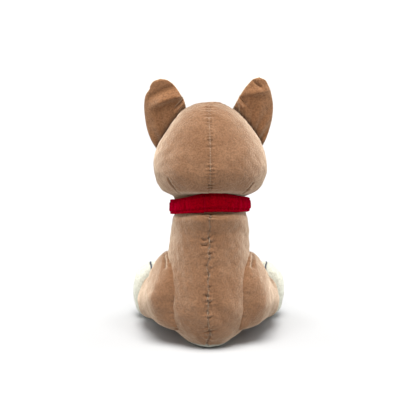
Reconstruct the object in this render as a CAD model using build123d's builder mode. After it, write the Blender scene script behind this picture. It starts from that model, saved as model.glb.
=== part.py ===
"""A sitting plush dog: pile-fabric covers over stuffing, upright ears, a loose collar and stub legs.

Millimetres, +Z up, the dog faces -Y and its left side is +X. The origin is on the floor, in the
middle of the flat seat. Every cover is a closed bag or panel of fabric around its own stuffing.
"""

import os
from math import cos, radians, sin, sqrt, tan

from build123d import *

os.makedirs("parts", exist_ok=True)

# ---------------------------------------------------------------- cloth and clearances
FABRIC = 1.2  # thickness of the pile fabric
PACKING_GAP = 0.1  # between a cover and the stuffing inside it
EASE = 0.4  # between pieces that move past each other

# ---------------------------------------------------------------- neck
NECK_HEIGHT = 118.0  # centre of the neck ball above the floor
NECK_FORWARD = 4.0
NECK_LEAN = 15.0  # degrees that the neck leans forward
NECK_RADIUS = 30.0  # the round neck that the collar turns on
NECK_BALL_RADIUS = 20.0
NOD_LIMIT = 10.0  # degrees

COLLAR_HEIGHT = 13.0
COLLAR_THICKNESS = 5.0
COLLAR_EDGE_RADIUS = 2.4

# ---------------------------------------------------------------- head
HEAD_WIDTH = 96.0
HEAD_DEPTH = 84.0
HEAD_HEIGHT = 96.5
HEAD_FORWARD = 8.0
HEAD_DROP = 8.0  # how far the hidden foot of the head form reaches below the neck ball's centre
FACE_SEAM_FORWARD = 24.0  # where the back panels of the head meet the face panel

MUZZLE_WIDTH = 42.0
MUZZLE_DEPTH = 36.0
MUZZLE_HEIGHT = 31.0
MUZZLE_ABOVE_NECK = 22.0
NOSE_WIDTH = 14.0
NOSE_HEIGHT = 10.0
NOSE_DEPTH = 9.0
MOUTH_THREAD = 1.0

EYE_SPACING = 38.0
EYE_ABOVE_NECK = 45.0
EYE_DIAMETER = 9.0
EYE_BULGE = 3.2
EYE_STEM_DIAMETER = 3.2
EYE_STEM_LENGTH = 9.0
WASHER_DIAMETER = 10.0
WASHER_THICKNESS = 1.2

# ---------------------------------------------------------------- ears
EAR_LENGTH = 44.0  # from the middle of the ear's base line to its tip
EAR_WIDTH = 36.0
EAR_LAYER = 2.5  # thickness of one padded ear layer
EAR_CUP_RADIUS = 34.0
EAR_LEAN = 9.5  # degrees outward from upright
EAR_BASE_OUT = 32.5  # the middle of the base line from the head's middle
EAR_BASE_UP = 62.0  # and above the neck ball's centre
EAR_FORWARD = 20.0
EAR_GAP = 3.0  # left between the head and an ear's foot, so that the ear can bend

# ---------------------------------------------------------------- torso
HIP_WIDTH = 82.0
HIP_DEPTH = 80.0
CHEST_WIDTH = 65.0
CHEST_DEPTH = 66.0
SEAT_WIDTH = 34.0
SEAT_DEPTH = 32.0
SEAT_BACK = 9.0  # the seat's middle is behind the neck's
SEAT_PANEL_HEIGHT = 3.5
BELLY_PANEL_WIDTH = 42.0
BELLY_SEAM_FORWARD = 8.0
PELLET_BAG_WIDTH = 44.0
PELLET_BAG_DEPTH = 40.0
PELLET_BAG_HEIGHT = 24.0
PELLET_BAG_LIFT = 6.0  # above the inside of the seat

# ---------------------------------------------------------------- hind legs
HIP_HEIGHT = 43.0
HIP_BACK = -3.5  # behind the middle of the dog; below zero is in front of it
HIP_FACE = 27.0  # from the middle plane to the flat face where a leg meets the torso
HAUNCH_RADIUS = 33.5
HAUNCH_BULGE = 30.0  # how far the haunch domes out from its flat face
HAUNCH_RIM = 3.0  # width of the haunch's round rim
LEG_REACH = 44.5  # from the hip to the foot's seam
LEG_WIDTH = 32.0
LEG_HEIGHT = 42.0
FOOT_WIDTH = 33.0
FOOT_HEIGHT = 53.0
FOOT_THICKNESS = 26.0
FOOT_OUT = 49.0  # from the middle plane to the middle of a foot
SOLE_DEPTH = 7.0  # how much of the foot's front is the sole panel
TOE_THREAD = 1.0

# ---------------------------------------------------------------- front legs
SHOULDER_HEIGHT = 88.0
SHOULDER_FORWARD = 37.0
FRONT_LEG_OUT = 17.0
FRONT_LEG_TOP_RADIUS = 11.5
FRONT_LEG_RADIUS = 10.0
PAW_WIDTH = 25.0
PAW_LENGTH = 33.0
PAW_HEIGHT = 20.0
PAW_FORWARD = 63.0
CUFF_HEIGHT = 17.0  # where the paw's cover meets the leg's

NECK_CENTRE = Vector(0, -NECK_FORWARD, NECK_HEIGHT)
NECK_PLANE = Plane(
    origin=NECK_CENTRE,
    x_dir=(1, 0, 0),
    z_dir=(0, -sin(radians(NECK_LEAN)), cos(radians(NECK_LEAN))),
)
NECK_SIDE = Plane(origin=NECK_CENTRE, x_dir=(1, 0, 0), z_dir=-NECK_PLANE.y_dir)
NECK_AXIS = Axis(NECK_CENTRE, NECK_PLANE.z_dir)
FLOOR = Plane.XY


def drawn_in(form, thickness):
    """A form drawn in by a thickness on every side; a negative thickness lets it out."""
    if thickness == 0:
        return form
    box = form.bounding_box()
    shares = tuple((side - 2 * thickness) / side for side in box.size)
    return scale(form, by=shares, about=box.center())


def oval_form(rings, plane_at, first_pole=None, last_pole=None):
    """A loft through ovals of (place, half width, half depth, side shift, depth shift)."""
    with BuildPart() as form:
        sections = []
        if first_pole:
            sections.append(Vertex(*first_pole))
        for place, half_width, half_depth, side, shift in rings:
            with BuildSketch(plane_at(place)) as ring:
                with Locations((side, shift)):
                    Ellipse(half_width, half_depth)
            sections.append(ring.sketch)
        if last_pole:
            sections.append(Vertex(*last_pole))
        loft(sections)
    return form.part


def neck_turning(points):
    """A solid turned about the neck's axis, through points of (radius, height along the neck)."""
    with BuildPart() as turned:
        with BuildSketch(NECK_SIDE):
            with BuildLine():
                Polyline(*points, close=True)
            make_face()
        revolve(axis=NECK_AXIS)
    return turned.part


def ball(centre, radius):
    """A ball used as a socket's cutter or as a rounded joint end."""
    with BuildPart(Plane(origin=centre)) as sphere:
        Sphere(radius)
    return sphere.part


def egg(centre, width, depth, height):
    """An ellipsoid of the given whole sizes."""
    with BuildPart() as form:
        Sphere(0.5)
    stretched = scale(form.part, by=(width, depth, height))
    return stretched.moved(Location(centre))


def both_sides(part):
    """A part and its mirror image on the dog's other side."""
    return [part, mirror(part, about=Plane.YZ)]


# ---------------------------------------------------------------- head form
# The head's outline: share of its height, then share of its greatest width and depth.
HEAD_OUTLINE = (
    (0.08, 0.54),
    (0.19, 0.78),
    (0.31, 0.94),
    (0.45, 1.0),
    (0.60, 0.945),
    (0.755, 0.785),
    (0.89, 0.58),
    (0.97, 0.32),
)
HEAD_FOOT = NECK_HEIGHT - HEAD_DROP


def head_rings():
    """The head's ovals, from jowl to crown."""
    return [
        (
            HEAD_FOOT + share * HEAD_HEIGHT,
            width_share * HEAD_WIDTH / 2,
            width_share * HEAD_DEPTH / 2,
            0,
            -HEAD_FORWARD,
        )
        for share, width_share in HEAD_OUTLINE
    ]


def head_half_depth_at(height, out):
    """How far in front of the head's middle its surface lies, at a height and a distance out."""
    span = (height - HEAD_FOOT) / HEAD_HEIGHT
    lower, upper = [
        pair
        for pair in zip(HEAD_OUTLINE, HEAD_OUTLINE[1:])
        if pair[0][0] <= span <= pair[1][0]
    ][0]
    part_way = (span - lower[0]) / (upper[0] - lower[0])
    width_share = lower[1] + part_way * (upper[1] - lower[1])
    across = out / (width_share * HEAD_WIDTH / 2)
    return width_share * HEAD_DEPTH / 2 * sqrt(1 - across**2)


HEAD_FORM = oval_form(
    head_rings(),
    FLOOR.offset,
    first_pole=(0, -HEAD_FORWARD, HEAD_FOOT),
    last_pole=(0, -HEAD_FORWARD, HEAD_FOOT + HEAD_HEIGHT),
)

# Room under the head: clear of the torso's top and, over the nod, of the collar.
COLLAR_RADIUS = NECK_RADIUS + EASE + COLLAR_THICKNESS
BALL_SEAT_RADIUS = NECK_BALL_RADIUS + EASE
JOWL_CLEARANCE = (
    COLLAR_HEIGHT / 2 + EASE + COLLAR_RADIUS * sin(radians(NOD_LIMIT))
) / cos(radians(NOD_LIMIT))
THROAT_CLEARANCE = (EASE + NECK_RADIUS * sin(radians(NOD_LIMIT))) / cos(
    radians(NOD_LIMIT)
)


THROAT_RADIUS = (
    NECK_RADIUS * cos(radians(NOD_LIMIT))
    - COLLAR_HEIGHT / 2 * sin(radians(NOD_LIMIT))
    - EASE
)


def under_head_room(lift):
    """What is cut away under the head, raised by a lift for the inside of its cover."""
    below = -HEAD_WIDTH / 2
    throat = THROAT_RADIUS - lift
    return neck_turning(
        [
            (0, below),
            (0, THROAT_CLEARANCE + lift),
            (throat, THROAT_CLEARANCE + lift),
            (throat, JOWL_CLEARANCE + lift),
            (HEAD_WIDTH, JOWL_CLEARANCE + lift),
            (HEAD_WIDTH, below),
        ]
    )




def head_bag(drawn):
    """The head above its socket and its clearance for the collar, drawn in by a thickness."""
    outside = drawn_in(HEAD_FORM, drawn)
    socket = ball(NECK_CENTRE, BALL_SEAT_RADIUS + drawn)
    room = under_head_room(drawn)
    with BuildPart() as bag:
        add(outside)
        add([room, socket], mode=Mode.SUBTRACT)
    return bag.part


HEAD_OUTSIDE = head_bag(0)
HEAD_INSIDE = head_bag(FABRIC)
HEAD_FILL = head_bag(FABRIC + PACKING_GAP)

# ---------------------------------------------------------------- eyes
EYE_HEIGHT = NECK_HEIGHT + EYE_ABOVE_NECK
EYE_FORWARD = HEAD_FORWARD + head_half_depth_at(EYE_HEIGHT, EYE_SPACING / 2)
EYE_LOOK = Vector(
    EYE_SPACING / 2 / HEAD_WIDTH**2,
    -(EYE_FORWARD - HEAD_FORWARD) / HEAD_DEPTH**2,
    0,
).normalized()
EYE_SEAT = Plane(
    origin=(EYE_SPACING / 2, -EYE_FORWARD, EYE_HEIGHT),
    x_dir=Vector(0, 0, 1),
    z_dir=EYE_LOOK,
)
EYE_LIFT = 0.6  # the dome's flat back stands this far proud of the fabric
DOME_RADIUS = ((EYE_DIAMETER / 2) ** 2 + EYE_BULGE**2) / (2 * EYE_BULGE)

EYE_SIDE = Plane(
    origin=EYE_SEAT.origin, x_dir=EYE_SEAT.x_dir, z_dir=EYE_SEAT.x_dir.cross(EYE_LOOK)
)

with BuildPart() as eye_left:
    with BuildSketch(EYE_SIDE):
        with BuildLine():
            Polyline(
                (0, EYE_LIFT + EYE_BULGE),
                (0, EYE_LIFT - EYE_STEM_LENGTH),
                (EYE_STEM_DIAMETER / 2, EYE_LIFT - EYE_STEM_LENGTH),
                (EYE_STEM_DIAMETER / 2, EYE_LIFT),
                (EYE_DIAMETER / 2, EYE_LIFT),
            )
            RadiusArc(
                (EYE_DIAMETER / 2, EYE_LIFT), (0, EYE_LIFT + EYE_BULGE), -DOME_RADIUS
            )
        make_face()
    revolve(axis=Axis(EYE_SEAT.origin, EYE_LOOK))

with BuildPart() as eye_washer_left:
    with BuildSketch(EYE_SEAT.offset(EYE_LIFT - EYE_STEM_LENGTH + 2 * WASHER_THICKNESS)):
        Circle(WASHER_DIAMETER / 2)
        Circle(EYE_STEM_DIAMETER / 2 + PACKING_GAP, mode=Mode.SUBTRACT)
    extrude(amount=WASHER_THICKNESS)

# Room for an eye: the dome's back, the stem and the washer.
with BuildPart() as eye_room:
    with BuildSketch(EYE_SEAT.offset(-EYE_STEM_LENGTH)):
        Circle(EYE_STEM_DIAMETER / 2 + PACKING_GAP)
    extrude(amount=2 * EYE_STEM_LENGTH)
    with BuildSketch(EYE_SEAT.offset(-EYE_STEM_LENGTH)):
        Circle(WASHER_DIAMETER / 2 + PACKING_GAP)
    extrude(amount=EYE_STEM_LENGTH - 2 * FABRIC - EYE_LIFT)
    with BuildSketch(EYE_SEAT.offset(EYE_LIFT - PACKING_GAP)):
        Circle(EYE_DIAMETER / 2 + PACKING_GAP)
    extrude(amount=2 * EYE_BULGE)
EYE_ROOMS = both_sides(eye_room.part)

# ---------------------------------------------------------------- muzzle, nose and mouth
MUZZLE_CENTRE = Vector(
    0, -HEAD_FORWARD - 0.46 * HEAD_DEPTH, NECK_HEIGHT + MUZZLE_ABOVE_NECK
)
MUZZLE_FORM = egg(MUZZLE_CENTRE, MUZZLE_WIDTH, MUZZLE_DEPTH, MUZZLE_HEIGHT)
NOSE_LIFT = 0.27 * MUZZLE_HEIGHT
NOSE_CENTRE = MUZZLE_CENTRE + Vector(
    0, -MUZZLE_DEPTH / 2 * sqrt(1 - (2 * NOSE_LIFT / MUZZLE_HEIGHT) ** 2), NOSE_LIFT
)

NOSE_FORM = egg(NOSE_CENTRE, NOSE_WIDTH, NOSE_DEPTH, NOSE_HEIGHT)
MUZZLE_ROOM = drawn_in(MUZZLE_FORM, FABRIC)
MUZZLE_FILL = drawn_in(MUZZLE_FORM, FABRIC + PACKING_GAP)
HEAD_LET_OUT = drawn_in(HEAD_FORM, -PACKING_GAP)

with BuildPart() as muzzle_cover:
    add(MUZZLE_FORM)
    add(MUZZLE_ROOM, mode=Mode.SUBTRACT)
    add(HEAD_FORM, mode=Mode.SUBTRACT)

with BuildPart() as muzzle_stuffing:
    add(MUZZLE_FILL)
    add(HEAD_LET_OUT, mode=Mode.SUBTRACT)

with BuildPart() as nose:
    add(NOSE_FORM)
    add(MUZZLE_FORM, mode=Mode.SUBTRACT)

# The mouth: a short thread down from the nose and a smile line, half sunk in the pile.
MOUTH_DROP = 0.11 * MUZZLE_HEIGHT
MOUTH_RADIUS = 0.5 * MUZZLE_DEPTH
with BuildPart() as mouth_stitch:
    with BuildSketch(Plane.XY.offset(MUZZLE_CENTRE.Z - MOUTH_DROP - MOUTH_THREAD / 2)):
        with Locations((0, MUZZLE_CENTRE.Y)):
            Ellipse(
                MUZZLE_WIDTH / 2 * 0.985 + MOUTH_THREAD / 2,
                MUZZLE_DEPTH / 2 * 0.985 + MOUTH_THREAD / 2,
            )
    extrude(amount=MOUTH_THREAD)
    add(MUZZLE_FORM, mode=Mode.SUBTRACT)
    with BuildSketch(Plane.XZ.offset(-MUZZLE_CENTRE.Y + MUZZLE_DEPTH / 4)) as front:
        with Locations((0, MUZZLE_CENTRE.Z)):
            Rectangle(MUZZLE_WIDTH * 0.52, MUZZLE_HEIGHT)
    extrude(amount=MUZZLE_DEPTH, mode=Mode.INTERSECT)

# ---------------------------------------------------------------- head pieces
FACE_PLANE = Plane.XZ.offset(FACE_SEAM_FORWARD)
# The back panels stop a hair short of the middle plane, where the head's form has its own edge.
MIDDLE_SEAM = Plane.YZ.offset(0.02)

with BuildPart() as head_shell:
    add(HEAD_OUTSIDE)
    add(HEAD_INSIDE, mode=Mode.SUBTRACT)

with BuildPart() as behind_face:
    with Locations((0, HEAD_DEPTH - FACE_SEAM_FORWARD, NECK_HEIGHT + HEAD_HEIGHT / 2)):
        Box(2 * HEAD_WIDTH, 2 * HEAD_DEPTH, 2 * HEAD_HEIGHT)

with BuildPart() as head_back_left:
    add(head_shell)
    split(bisect_by=FACE_PLANE, keep=Keep.BOTTOM)
    split(bisect_by=MIDDLE_SEAM, keep=Keep.TOP)

with BuildPart() as face_panel:
    add(head_shell)
    add(behind_face, mode=Mode.SUBTRACT)
    add(EYE_ROOMS, mode=Mode.SUBTRACT)

with BuildPart() as head_stuffing:
    add(HEAD_FILL)
    add(EYE_ROOMS, mode=Mode.SUBTRACT)

with BuildPart(Plane(origin=NECK_CENTRE)) as neck_stuffing:
    Sphere(NECK_BALL_RADIUS)

# ---------------------------------------------------------------- ears
EAR_ROOT = Vector(EAR_BASE_OUT, -EAR_FORWARD, NECK_HEIGHT + EAR_BASE_UP)
EAR_UP = Vector(sin(radians(EAR_LEAN)), 0, cos(radians(EAR_LEAN)))
EAR_PLANE = Plane(
    origin=EAR_ROOT,
    x_dir=(cos(radians(EAR_LEAN)), 0, -sin(radians(EAR_LEAN))),
    z_dir=(0, -1, 0),
)
# The ear's outline from the inner end of its base line over the tip to the outer end: share of
# its width outward, then share of its length upward.
EAR_OUTLINE = (
    (-0.41, 0.34),
    (-0.43, 0.60),
    (-0.32, 0.86),
    (-0.04, 1.0),
    (0.26, 0.95),
    (0.50, 0.69),
    (0.55, 0.35),
    (0.53, 0.09),
    (0.41, -0.34),
)
EAR_EDGE = [(across * EAR_WIDTH, up * EAR_LENGTH) for across, up in EAR_OUTLINE]
EAR_ROOM = drawn_in(HEAD_FORM, -EAR_GAP)


def ear_layer(near_radius, far_radius):
    """One layer of the cupped ear, between two radii of the cup, cut to the ear's outline."""
    with BuildPart() as layer:
        with BuildSketch(EAR_PLANE.offset(-EAR_CUP_RADIUS)):
            with BuildLine():
                Spline(EAR_EDGE)
                Line(EAR_EDGE[-1], EAR_EDGE[0])
            make_face()
        extrude(amount=2 * EAR_CUP_RADIUS)
        cup_axis = Axis(EAR_ROOT - Vector(0, EAR_CUP_RADIUS, 0), EAR_UP)
        with BuildSketch(Plane(origin=cup_axis.position, z_dir=EAR_UP)):
            Circle(far_radius)
            Circle(near_radius, mode=Mode.SUBTRACT)
        extrude(amount=2 * EAR_LENGTH, both=True, mode=Mode.INTERSECT)
        split(bisect_by=Plane.XZ.offset(EAR_FORWARD + EAR_CUP_RADIUS), keep=Keep.BOTTOM)
        add(EAR_ROOM, mode=Mode.SUBTRACT)
    return layer.part


EAR_BACK = ear_layer(EAR_CUP_RADIUS, EAR_CUP_RADIUS + EAR_LAYER)
EAR_LINING = ear_layer(EAR_CUP_RADIUS - EAR_LAYER, EAR_CUP_RADIUS)

with BuildPart() as ear_back_left:
    add(EAR_BACK)

with BuildPart() as ear_lining_left:
    add(EAR_LINING)

# ---------------------------------------------------------------- collar
with BuildPart() as collar_ring:
    with BuildSketch(NECK_SIDE):
        with Locations((NECK_RADIUS + EASE + COLLAR_THICKNESS / 2, 0)):
            RectangleRounded(COLLAR_THICKNESS, COLLAR_HEIGHT, COLLAR_EDGE_RADIUS)
    revolve(axis=NECK_AXIS)

with BuildPart() as collar_left:
    add(collar_ring)
    split(bisect_by=Plane.YZ, keep=Keep.TOP)

with BuildPart() as collar_right:
    add(collar_ring)
    split(bisect_by=Plane.YZ, keep=Keep.BOTTOM)

# ---------------------------------------------------------------- torso form
HIP_X, HIP_Y = HIP_WIDTH / 2, HIP_DEPTH / 2
CHEST_X, CHEST_Y = CHEST_WIDTH / 2, CHEST_DEPTH / 2
LEAN = tan(radians(NECK_LEAN))
TORSO_TOP = 1.2 * NECK_HEIGHT  # the form runs past the neck and is cut there
TORSO_RINGS = (
    (0, SEAT_WIDTH / 2, SEAT_DEPTH / 2, 0, SEAT_BACK),
    (0.035 * NECK_HEIGHT, HIP_X * 0.56, HIP_Y * 0.56, 0, SEAT_BACK * 0.8),
    (0.09 * NECK_HEIGHT, HIP_X * 0.76, HIP_Y * 0.77, 0, SEAT_BACK * 0.4),
    (0.17 * NECK_HEIGHT, HIP_X * 0.91, HIP_Y * 0.92, 0, SEAT_BACK * 0.1),
    (0.28 * NECK_HEIGHT, HIP_X, HIP_Y, 0, 0),
    (0.43 * NECK_HEIGHT, HIP_X * 0.96, HIP_Y * 0.97, 0, -NECK_FORWARD * 0.25),
    (0.64 * NECK_HEIGHT, CHEST_X * 1.08, CHEST_Y * 1.07, 0, -NECK_FORWARD * 0.6),
    (0.85 * NECK_HEIGHT, CHEST_X, CHEST_Y, 0, -NECK_FORWARD),
    (
        TORSO_TOP,
        CHEST_X,
        CHEST_Y,
        0,
        -NECK_FORWARD - (TORSO_TOP - NECK_HEIGHT) * LEAN,
    ),
)
TORSO_FORM = oval_form(TORSO_RINGS, FLOOR.offset)


def collar_seat(drawn):
    """What is cut from the torso so that a round neck is left under the collar."""
    bottom = -COLLAR_HEIGHT / 2 - EASE - drawn
    radius = NECK_RADIUS - drawn
    return neck_turning(
        [
            (radius, bottom),
            (HIP_WIDTH, bottom),
            (HIP_WIDTH, COLLAR_HEIGHT),
            (radius, COLLAR_HEIGHT),
        ]
    )


SHOULDER = Vector(FRONT_LEG_OUT, -SHOULDER_FORWARD, SHOULDER_HEIGHT)
PAW = Vector(FRONT_LEG_OUT, -PAW_FORWARD + PAW_LENGTH * 0.12, PAW_HEIGHT * 0.45)
FRONT_LEG_LINE = (PAW - SHOULDER).normalized()
FRONT_LEG_LENGTH = (PAW - SHOULDER).length


def haunch_recess(wider):
    """The round recess in the torso's side that a haunch turns in."""
    with BuildPart() as recess:
        with BuildSketch(Plane.YZ.offset(HIP_FACE - EASE - wider)):
            with Locations((HIP_BACK, HIP_HEIGHT)):
                Circle(HAUNCH_RADIUS + EASE + wider)
        extrude(amount=HIP_WIDTH)
    return recess.part


def front_leg_form(let_out=0.0):
    """A front leg down to its ankle: a round shoulder and a tapering limb."""
    shoulder = ball(SHOULDER, FRONT_LEG_TOP_RADIUS + let_out)
    with BuildPart() as limb:
        with BuildSketch(Plane(origin=SHOULDER, x_dir=(1, 0, 0), z_dir=FRONT_LEG_LINE)):
            Circle(FRONT_LEG_TOP_RADIUS + let_out)
        with BuildSketch(Plane(origin=PAW, x_dir=(1, 0, 0), z_dir=FRONT_LEG_LINE)):
            Circle(FRONT_LEG_RADIUS + let_out)
        loft()
        add(shoulder)
    return limb.part


def torso_bag(drawn):
    """The torso between the floor and the neck, with its recesses for the legs and collar."""
    outside = drawn_in(TORSO_FORM, drawn)
    cuts = both_sides(haunch_recess(drawn)) + both_sides(front_leg_form(EASE + drawn))
    cuts += [collar_seat(drawn), ball(NECK_CENTRE, BALL_SEAT_RADIUS + drawn)]
    with BuildPart() as bag:
        add(outside)
        split(bisect_by=NECK_PLANE.offset(-drawn), keep=Keep.BOTTOM)
        add(cuts, mode=Mode.SUBTRACT)
    return bag.part


TORSO_OUTSIDE = torso_bag(0)
TORSO_INSIDE = torso_bag(FABRIC)
TORSO_FILL = torso_bag(FABRIC + PACKING_GAP)

with BuildPart() as torso_shell:
    add(TORSO_OUTSIDE)
    add(TORSO_INSIDE, mode=Mode.SUBTRACT)

with BuildPart() as belly_cut:
    with BuildSketch(Plane.XZ.offset(BELLY_SEAM_FORWARD)):
        with Locations((0, NECK_HEIGHT / 2 + SEAT_PANEL_HEIGHT)):
            Rectangle(BELLY_PANEL_WIDTH, NECK_HEIGHT)
    extrude(amount=HIP_DEPTH)

with BuildPart() as seat_panel:
    add(torso_shell)
    split(bisect_by=FLOOR.offset(SEAT_PANEL_HEIGHT), keep=Keep.BOTTOM)

with BuildPart() as belly_panel:
    add(torso_shell)
    split(bisect_by=FLOOR.offset(SEAT_PANEL_HEIGHT), keep=Keep.TOP)
    add(belly_cut, mode=Mode.INTERSECT)

with BuildPart() as back_panel_left:
    add(torso_shell)
    split(bisect_by=FLOOR.offset(SEAT_PANEL_HEIGHT), keep=Keep.TOP)
    add(belly_cut, mode=Mode.SUBTRACT)
    split(bisect_by=Plane.YZ, keep=Keep.TOP)

PELLET_BAG_CENTRE = Vector(
    0, SEAT_BACK * 0.5, FABRIC + PELLET_BAG_LIFT + PELLET_BAG_HEIGHT / 2
)
PELLET_BAG_FORM = egg(
    PELLET_BAG_CENTRE, PELLET_BAG_WIDTH, PELLET_BAG_DEPTH, PELLET_BAG_HEIGHT
)
PELLET_BAG_ROOM = drawn_in(PELLET_BAG_FORM, -PACKING_GAP)

with BuildPart() as pellet_bag:
    add(PELLET_BAG_FORM)

with BuildPart() as torso_stuffing:
    add(TORSO_FILL)
    add(PELLET_BAG_ROOM, mode=Mode.SUBTRACT)

# ---------------------------------------------------------------- hind legs
FOOT_SEAM = LEG_REACH - HIP_BACK  # the foot's seam in front of the middle of the dog
LEG_RINGS = (
    (-HIP_BACK, LEG_WIDTH * 0.30, LEG_HEIGHT * 0.50, FOOT_OUT * 0.86, HIP_HEIGHT * 0.80),
    (
        FOOT_SEAM * 0.45,
        LEG_WIDTH * 0.47,
        LEG_HEIGHT * 0.55,
        FOOT_OUT * 0.92,
        HIP_HEIGHT * 0.61,
    ),
    (
        FOOT_SEAM * 0.75,
        LEG_WIDTH * 0.48,
        LEG_HEIGHT * 0.51,
        FOOT_OUT * 0.94,
        HIP_HEIGHT * 0.54,
    ),
    (FOOT_SEAM, LEG_WIDTH * 0.44, LEG_HEIGHT * 0.49, FOOT_OUT * 0.97, HIP_HEIGHT * 0.54),
)
FOOT_MIDDLE = FOOT_HEIGHT / 2
FOOT_RINGS = (
    (FOOT_SEAM, FOOT_WIDTH * 0.42, FOOT_HEIGHT * 0.42, FOOT_OUT, FOOT_MIDDLE),
    (
        FOOT_SEAM + FOOT_THICKNESS * 0.2,
        FOOT_WIDTH * 0.5,
        FOOT_HEIGHT * 0.5,
        FOOT_OUT,
        FOOT_MIDDLE,
    ),
    (
        FOOT_SEAM + FOOT_THICKNESS * 0.55,
        FOOT_WIDTH * 0.5,
        FOOT_HEIGHT * 0.505,
        FOOT_OUT + 0.5,
        FOOT_MIDDLE,
    ),
    (
        FOOT_SEAM + FOOT_THICKNESS * 0.85,
        FOOT_WIDTH * 0.36,
        FOOT_HEIGHT * 0.37,
        FOOT_OUT + 1,
        FOOT_MIDDLE,
    ),
)
FOOT_FORM = oval_form(
    FOOT_RINGS,
    Plane.XZ.offset,
    last_pole=(FOOT_OUT + 1, -FOOT_SEAM - FOOT_THICKNESS, FOOT_MIDDLE),
)


def haunch_form(drawn):
    """The haunch: a disc against the torso that domes outward, round about the hip's axis."""
    face, bulge = HIP_FACE + drawn, HAUNCH_BULGE - 2 * drawn
    edge, rim = HIP_BACK + HAUNCH_RADIUS - drawn, HAUNCH_RIM - drawn
    with BuildPart() as haunch:
        with BuildSketch(Plane.XY.offset(HIP_HEIGHT)):
            with BuildLine():
                Polyline((face + rim, edge), (face, edge), (face, HIP_BACK), (face + bulge, HIP_BACK))
                Spline(
                    (face + rim, edge),
                    (face + bulge * 0.62, HIP_BACK + (edge - HIP_BACK) * 0.77),
                    (face + bulge, HIP_BACK),
                    tangents=[(1, -0.35), (0, -1)],
                )
            make_face()
        revolve(axis=Axis((0, HIP_BACK, HIP_HEIGHT), (1, 0, 0)))
    return haunch.part


LEG_FORM = oval_form(LEG_RINGS, Plane.XZ.offset)


def hind_leg_bag(drawn):
    """The hind leg from the haunch to the foot's seam, drawn in for the inside of its cover."""
    forms = [haunch_form(drawn), drawn_in(LEG_FORM, drawn)]
    with BuildPart() as bag:
        add(forms)
        split(bisect_by=FLOOR.offset(drawn), keep=Keep.TOP)
        split(bisect_by=Plane.YZ.offset(HIP_FACE + drawn), keep=Keep.TOP)
    return bag.part


def foot_bag(drawn):
    """The foot, flat where it stands on the floor."""
    form = drawn_in(FOOT_FORM, drawn)
    with BuildPart() as bag:
        add(form)
        split(bisect_by=FLOOR.offset(drawn), keep=Keep.TOP)
    return bag.part


SOLE_PLANE = Plane.XZ.offset(FOOT_SEAM + FOOT_THICKNESS - SOLE_DEPTH)

HIND_LEG_OUTSIDE = hind_leg_bag(0)
HIND_LEG_INSIDE = hind_leg_bag(FABRIC)
HIND_LEG_FILL = hind_leg_bag(FABRIC + PACKING_GAP)
FOOT_OUTSIDE = foot_bag(0)
FOOT_INSIDE = foot_bag(FABRIC)
FOOT_FILL = foot_bag(FABRIC + PACKING_GAP)
FOOT_THREADED = drawn_in(FOOT_FORM, -TOE_THREAD / 2)

with BuildPart() as hind_leg_left:
    add(HIND_LEG_OUTSIDE)
    add(HIND_LEG_INSIDE, mode=Mode.SUBTRACT)

with BuildPart() as hind_leg_stuffing_left:
    add(HIND_LEG_FILL)

with BuildPart() as foot_left:
    add(FOOT_OUTSIDE)
    add(FOOT_INSIDE, mode=Mode.SUBTRACT)
    split(bisect_by=SOLE_PLANE, keep=Keep.BOTTOM)

with BuildPart() as sole_left:
    add(FOOT_OUTSIDE)
    add(FOOT_INSIDE, mode=Mode.SUBTRACT)
    split(bisect_by=SOLE_PLANE, keep=Keep.TOP)

with BuildPart() as foot_stuffing_left:
    add(FOOT_FILL)

# Toe lines: three threads over the top edge of the foot, half sunk in the pile.
TOE_LINE_OFFSETS = (-0.2, 0.02, 0.24)
with BuildPart() as toe_stitches_left:
    for offset in TOE_LINE_OFFSETS:
        with BuildSketch(Plane.YZ.offset(FOOT_OUT + offset * FOOT_WIDTH - TOE_THREAD / 2)):
            with Locations((-FOOT_SEAM - FOOT_THICKNESS * 0.45, FOOT_MIDDLE)):
                Rectangle(FOOT_THICKNESS * 2, FOOT_HEIGHT * 2)
        extrude(amount=TOE_THREAD)
    add(FOOT_THREADED, mode=Mode.INTERSECT)
    add(FOOT_FORM, mode=Mode.SUBTRACT)
    with BuildSketch(Plane.XZ.offset(FOOT_SEAM + FOOT_THICKNESS * 0.2)):
        with Locations((FOOT_OUT, FOOT_HEIGHT)):
            Rectangle(2 * FOOT_WIDTH, FOOT_HEIGHT * 0.48)
    extrude(amount=FOOT_THICKNESS, mode=Mode.INTERSECT)

# ---------------------------------------------------------------- front legs
PAW_FORM = egg(
    (FRONT_LEG_OUT, -PAW_FORWARD, PAW_HEIGHT * 0.46), PAW_WIDTH, PAW_LENGTH, PAW_HEIGHT
)


def front_leg_bag(drawn):
    """The front leg and its paw as one form, flat on the floor."""
    forms = [front_leg_form(-drawn), drawn_in(PAW_FORM, drawn)]
    with BuildPart() as bag:
        add(forms)
        split(bisect_by=FLOOR.offset(drawn), keep=Keep.TOP)
    return bag.part


CUFF_PLANE = FLOOR.offset(CUFF_HEIGHT)

FRONT_LEG_OUTSIDE = front_leg_bag(0)
FRONT_LEG_INSIDE = front_leg_bag(FABRIC)
FRONT_LEG_FILL = front_leg_bag(FABRIC + PACKING_GAP)
PAW_THREADED = drawn_in(PAW_FORM, -TOE_THREAD / 2)

with BuildPart() as front_leg_left:
    add(FRONT_LEG_OUTSIDE)
    add(FRONT_LEG_INSIDE, mode=Mode.SUBTRACT)
    split(bisect_by=CUFF_PLANE, keep=Keep.TOP)

with BuildPart() as paw_left:
    add(FRONT_LEG_OUTSIDE)
    add(FRONT_LEG_INSIDE, mode=Mode.SUBTRACT)
    split(bisect_by=CUFF_PLANE, keep=Keep.BOTTOM)

with BuildPart() as front_leg_stuffing_left:
    add(FRONT_LEG_FILL)

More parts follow.
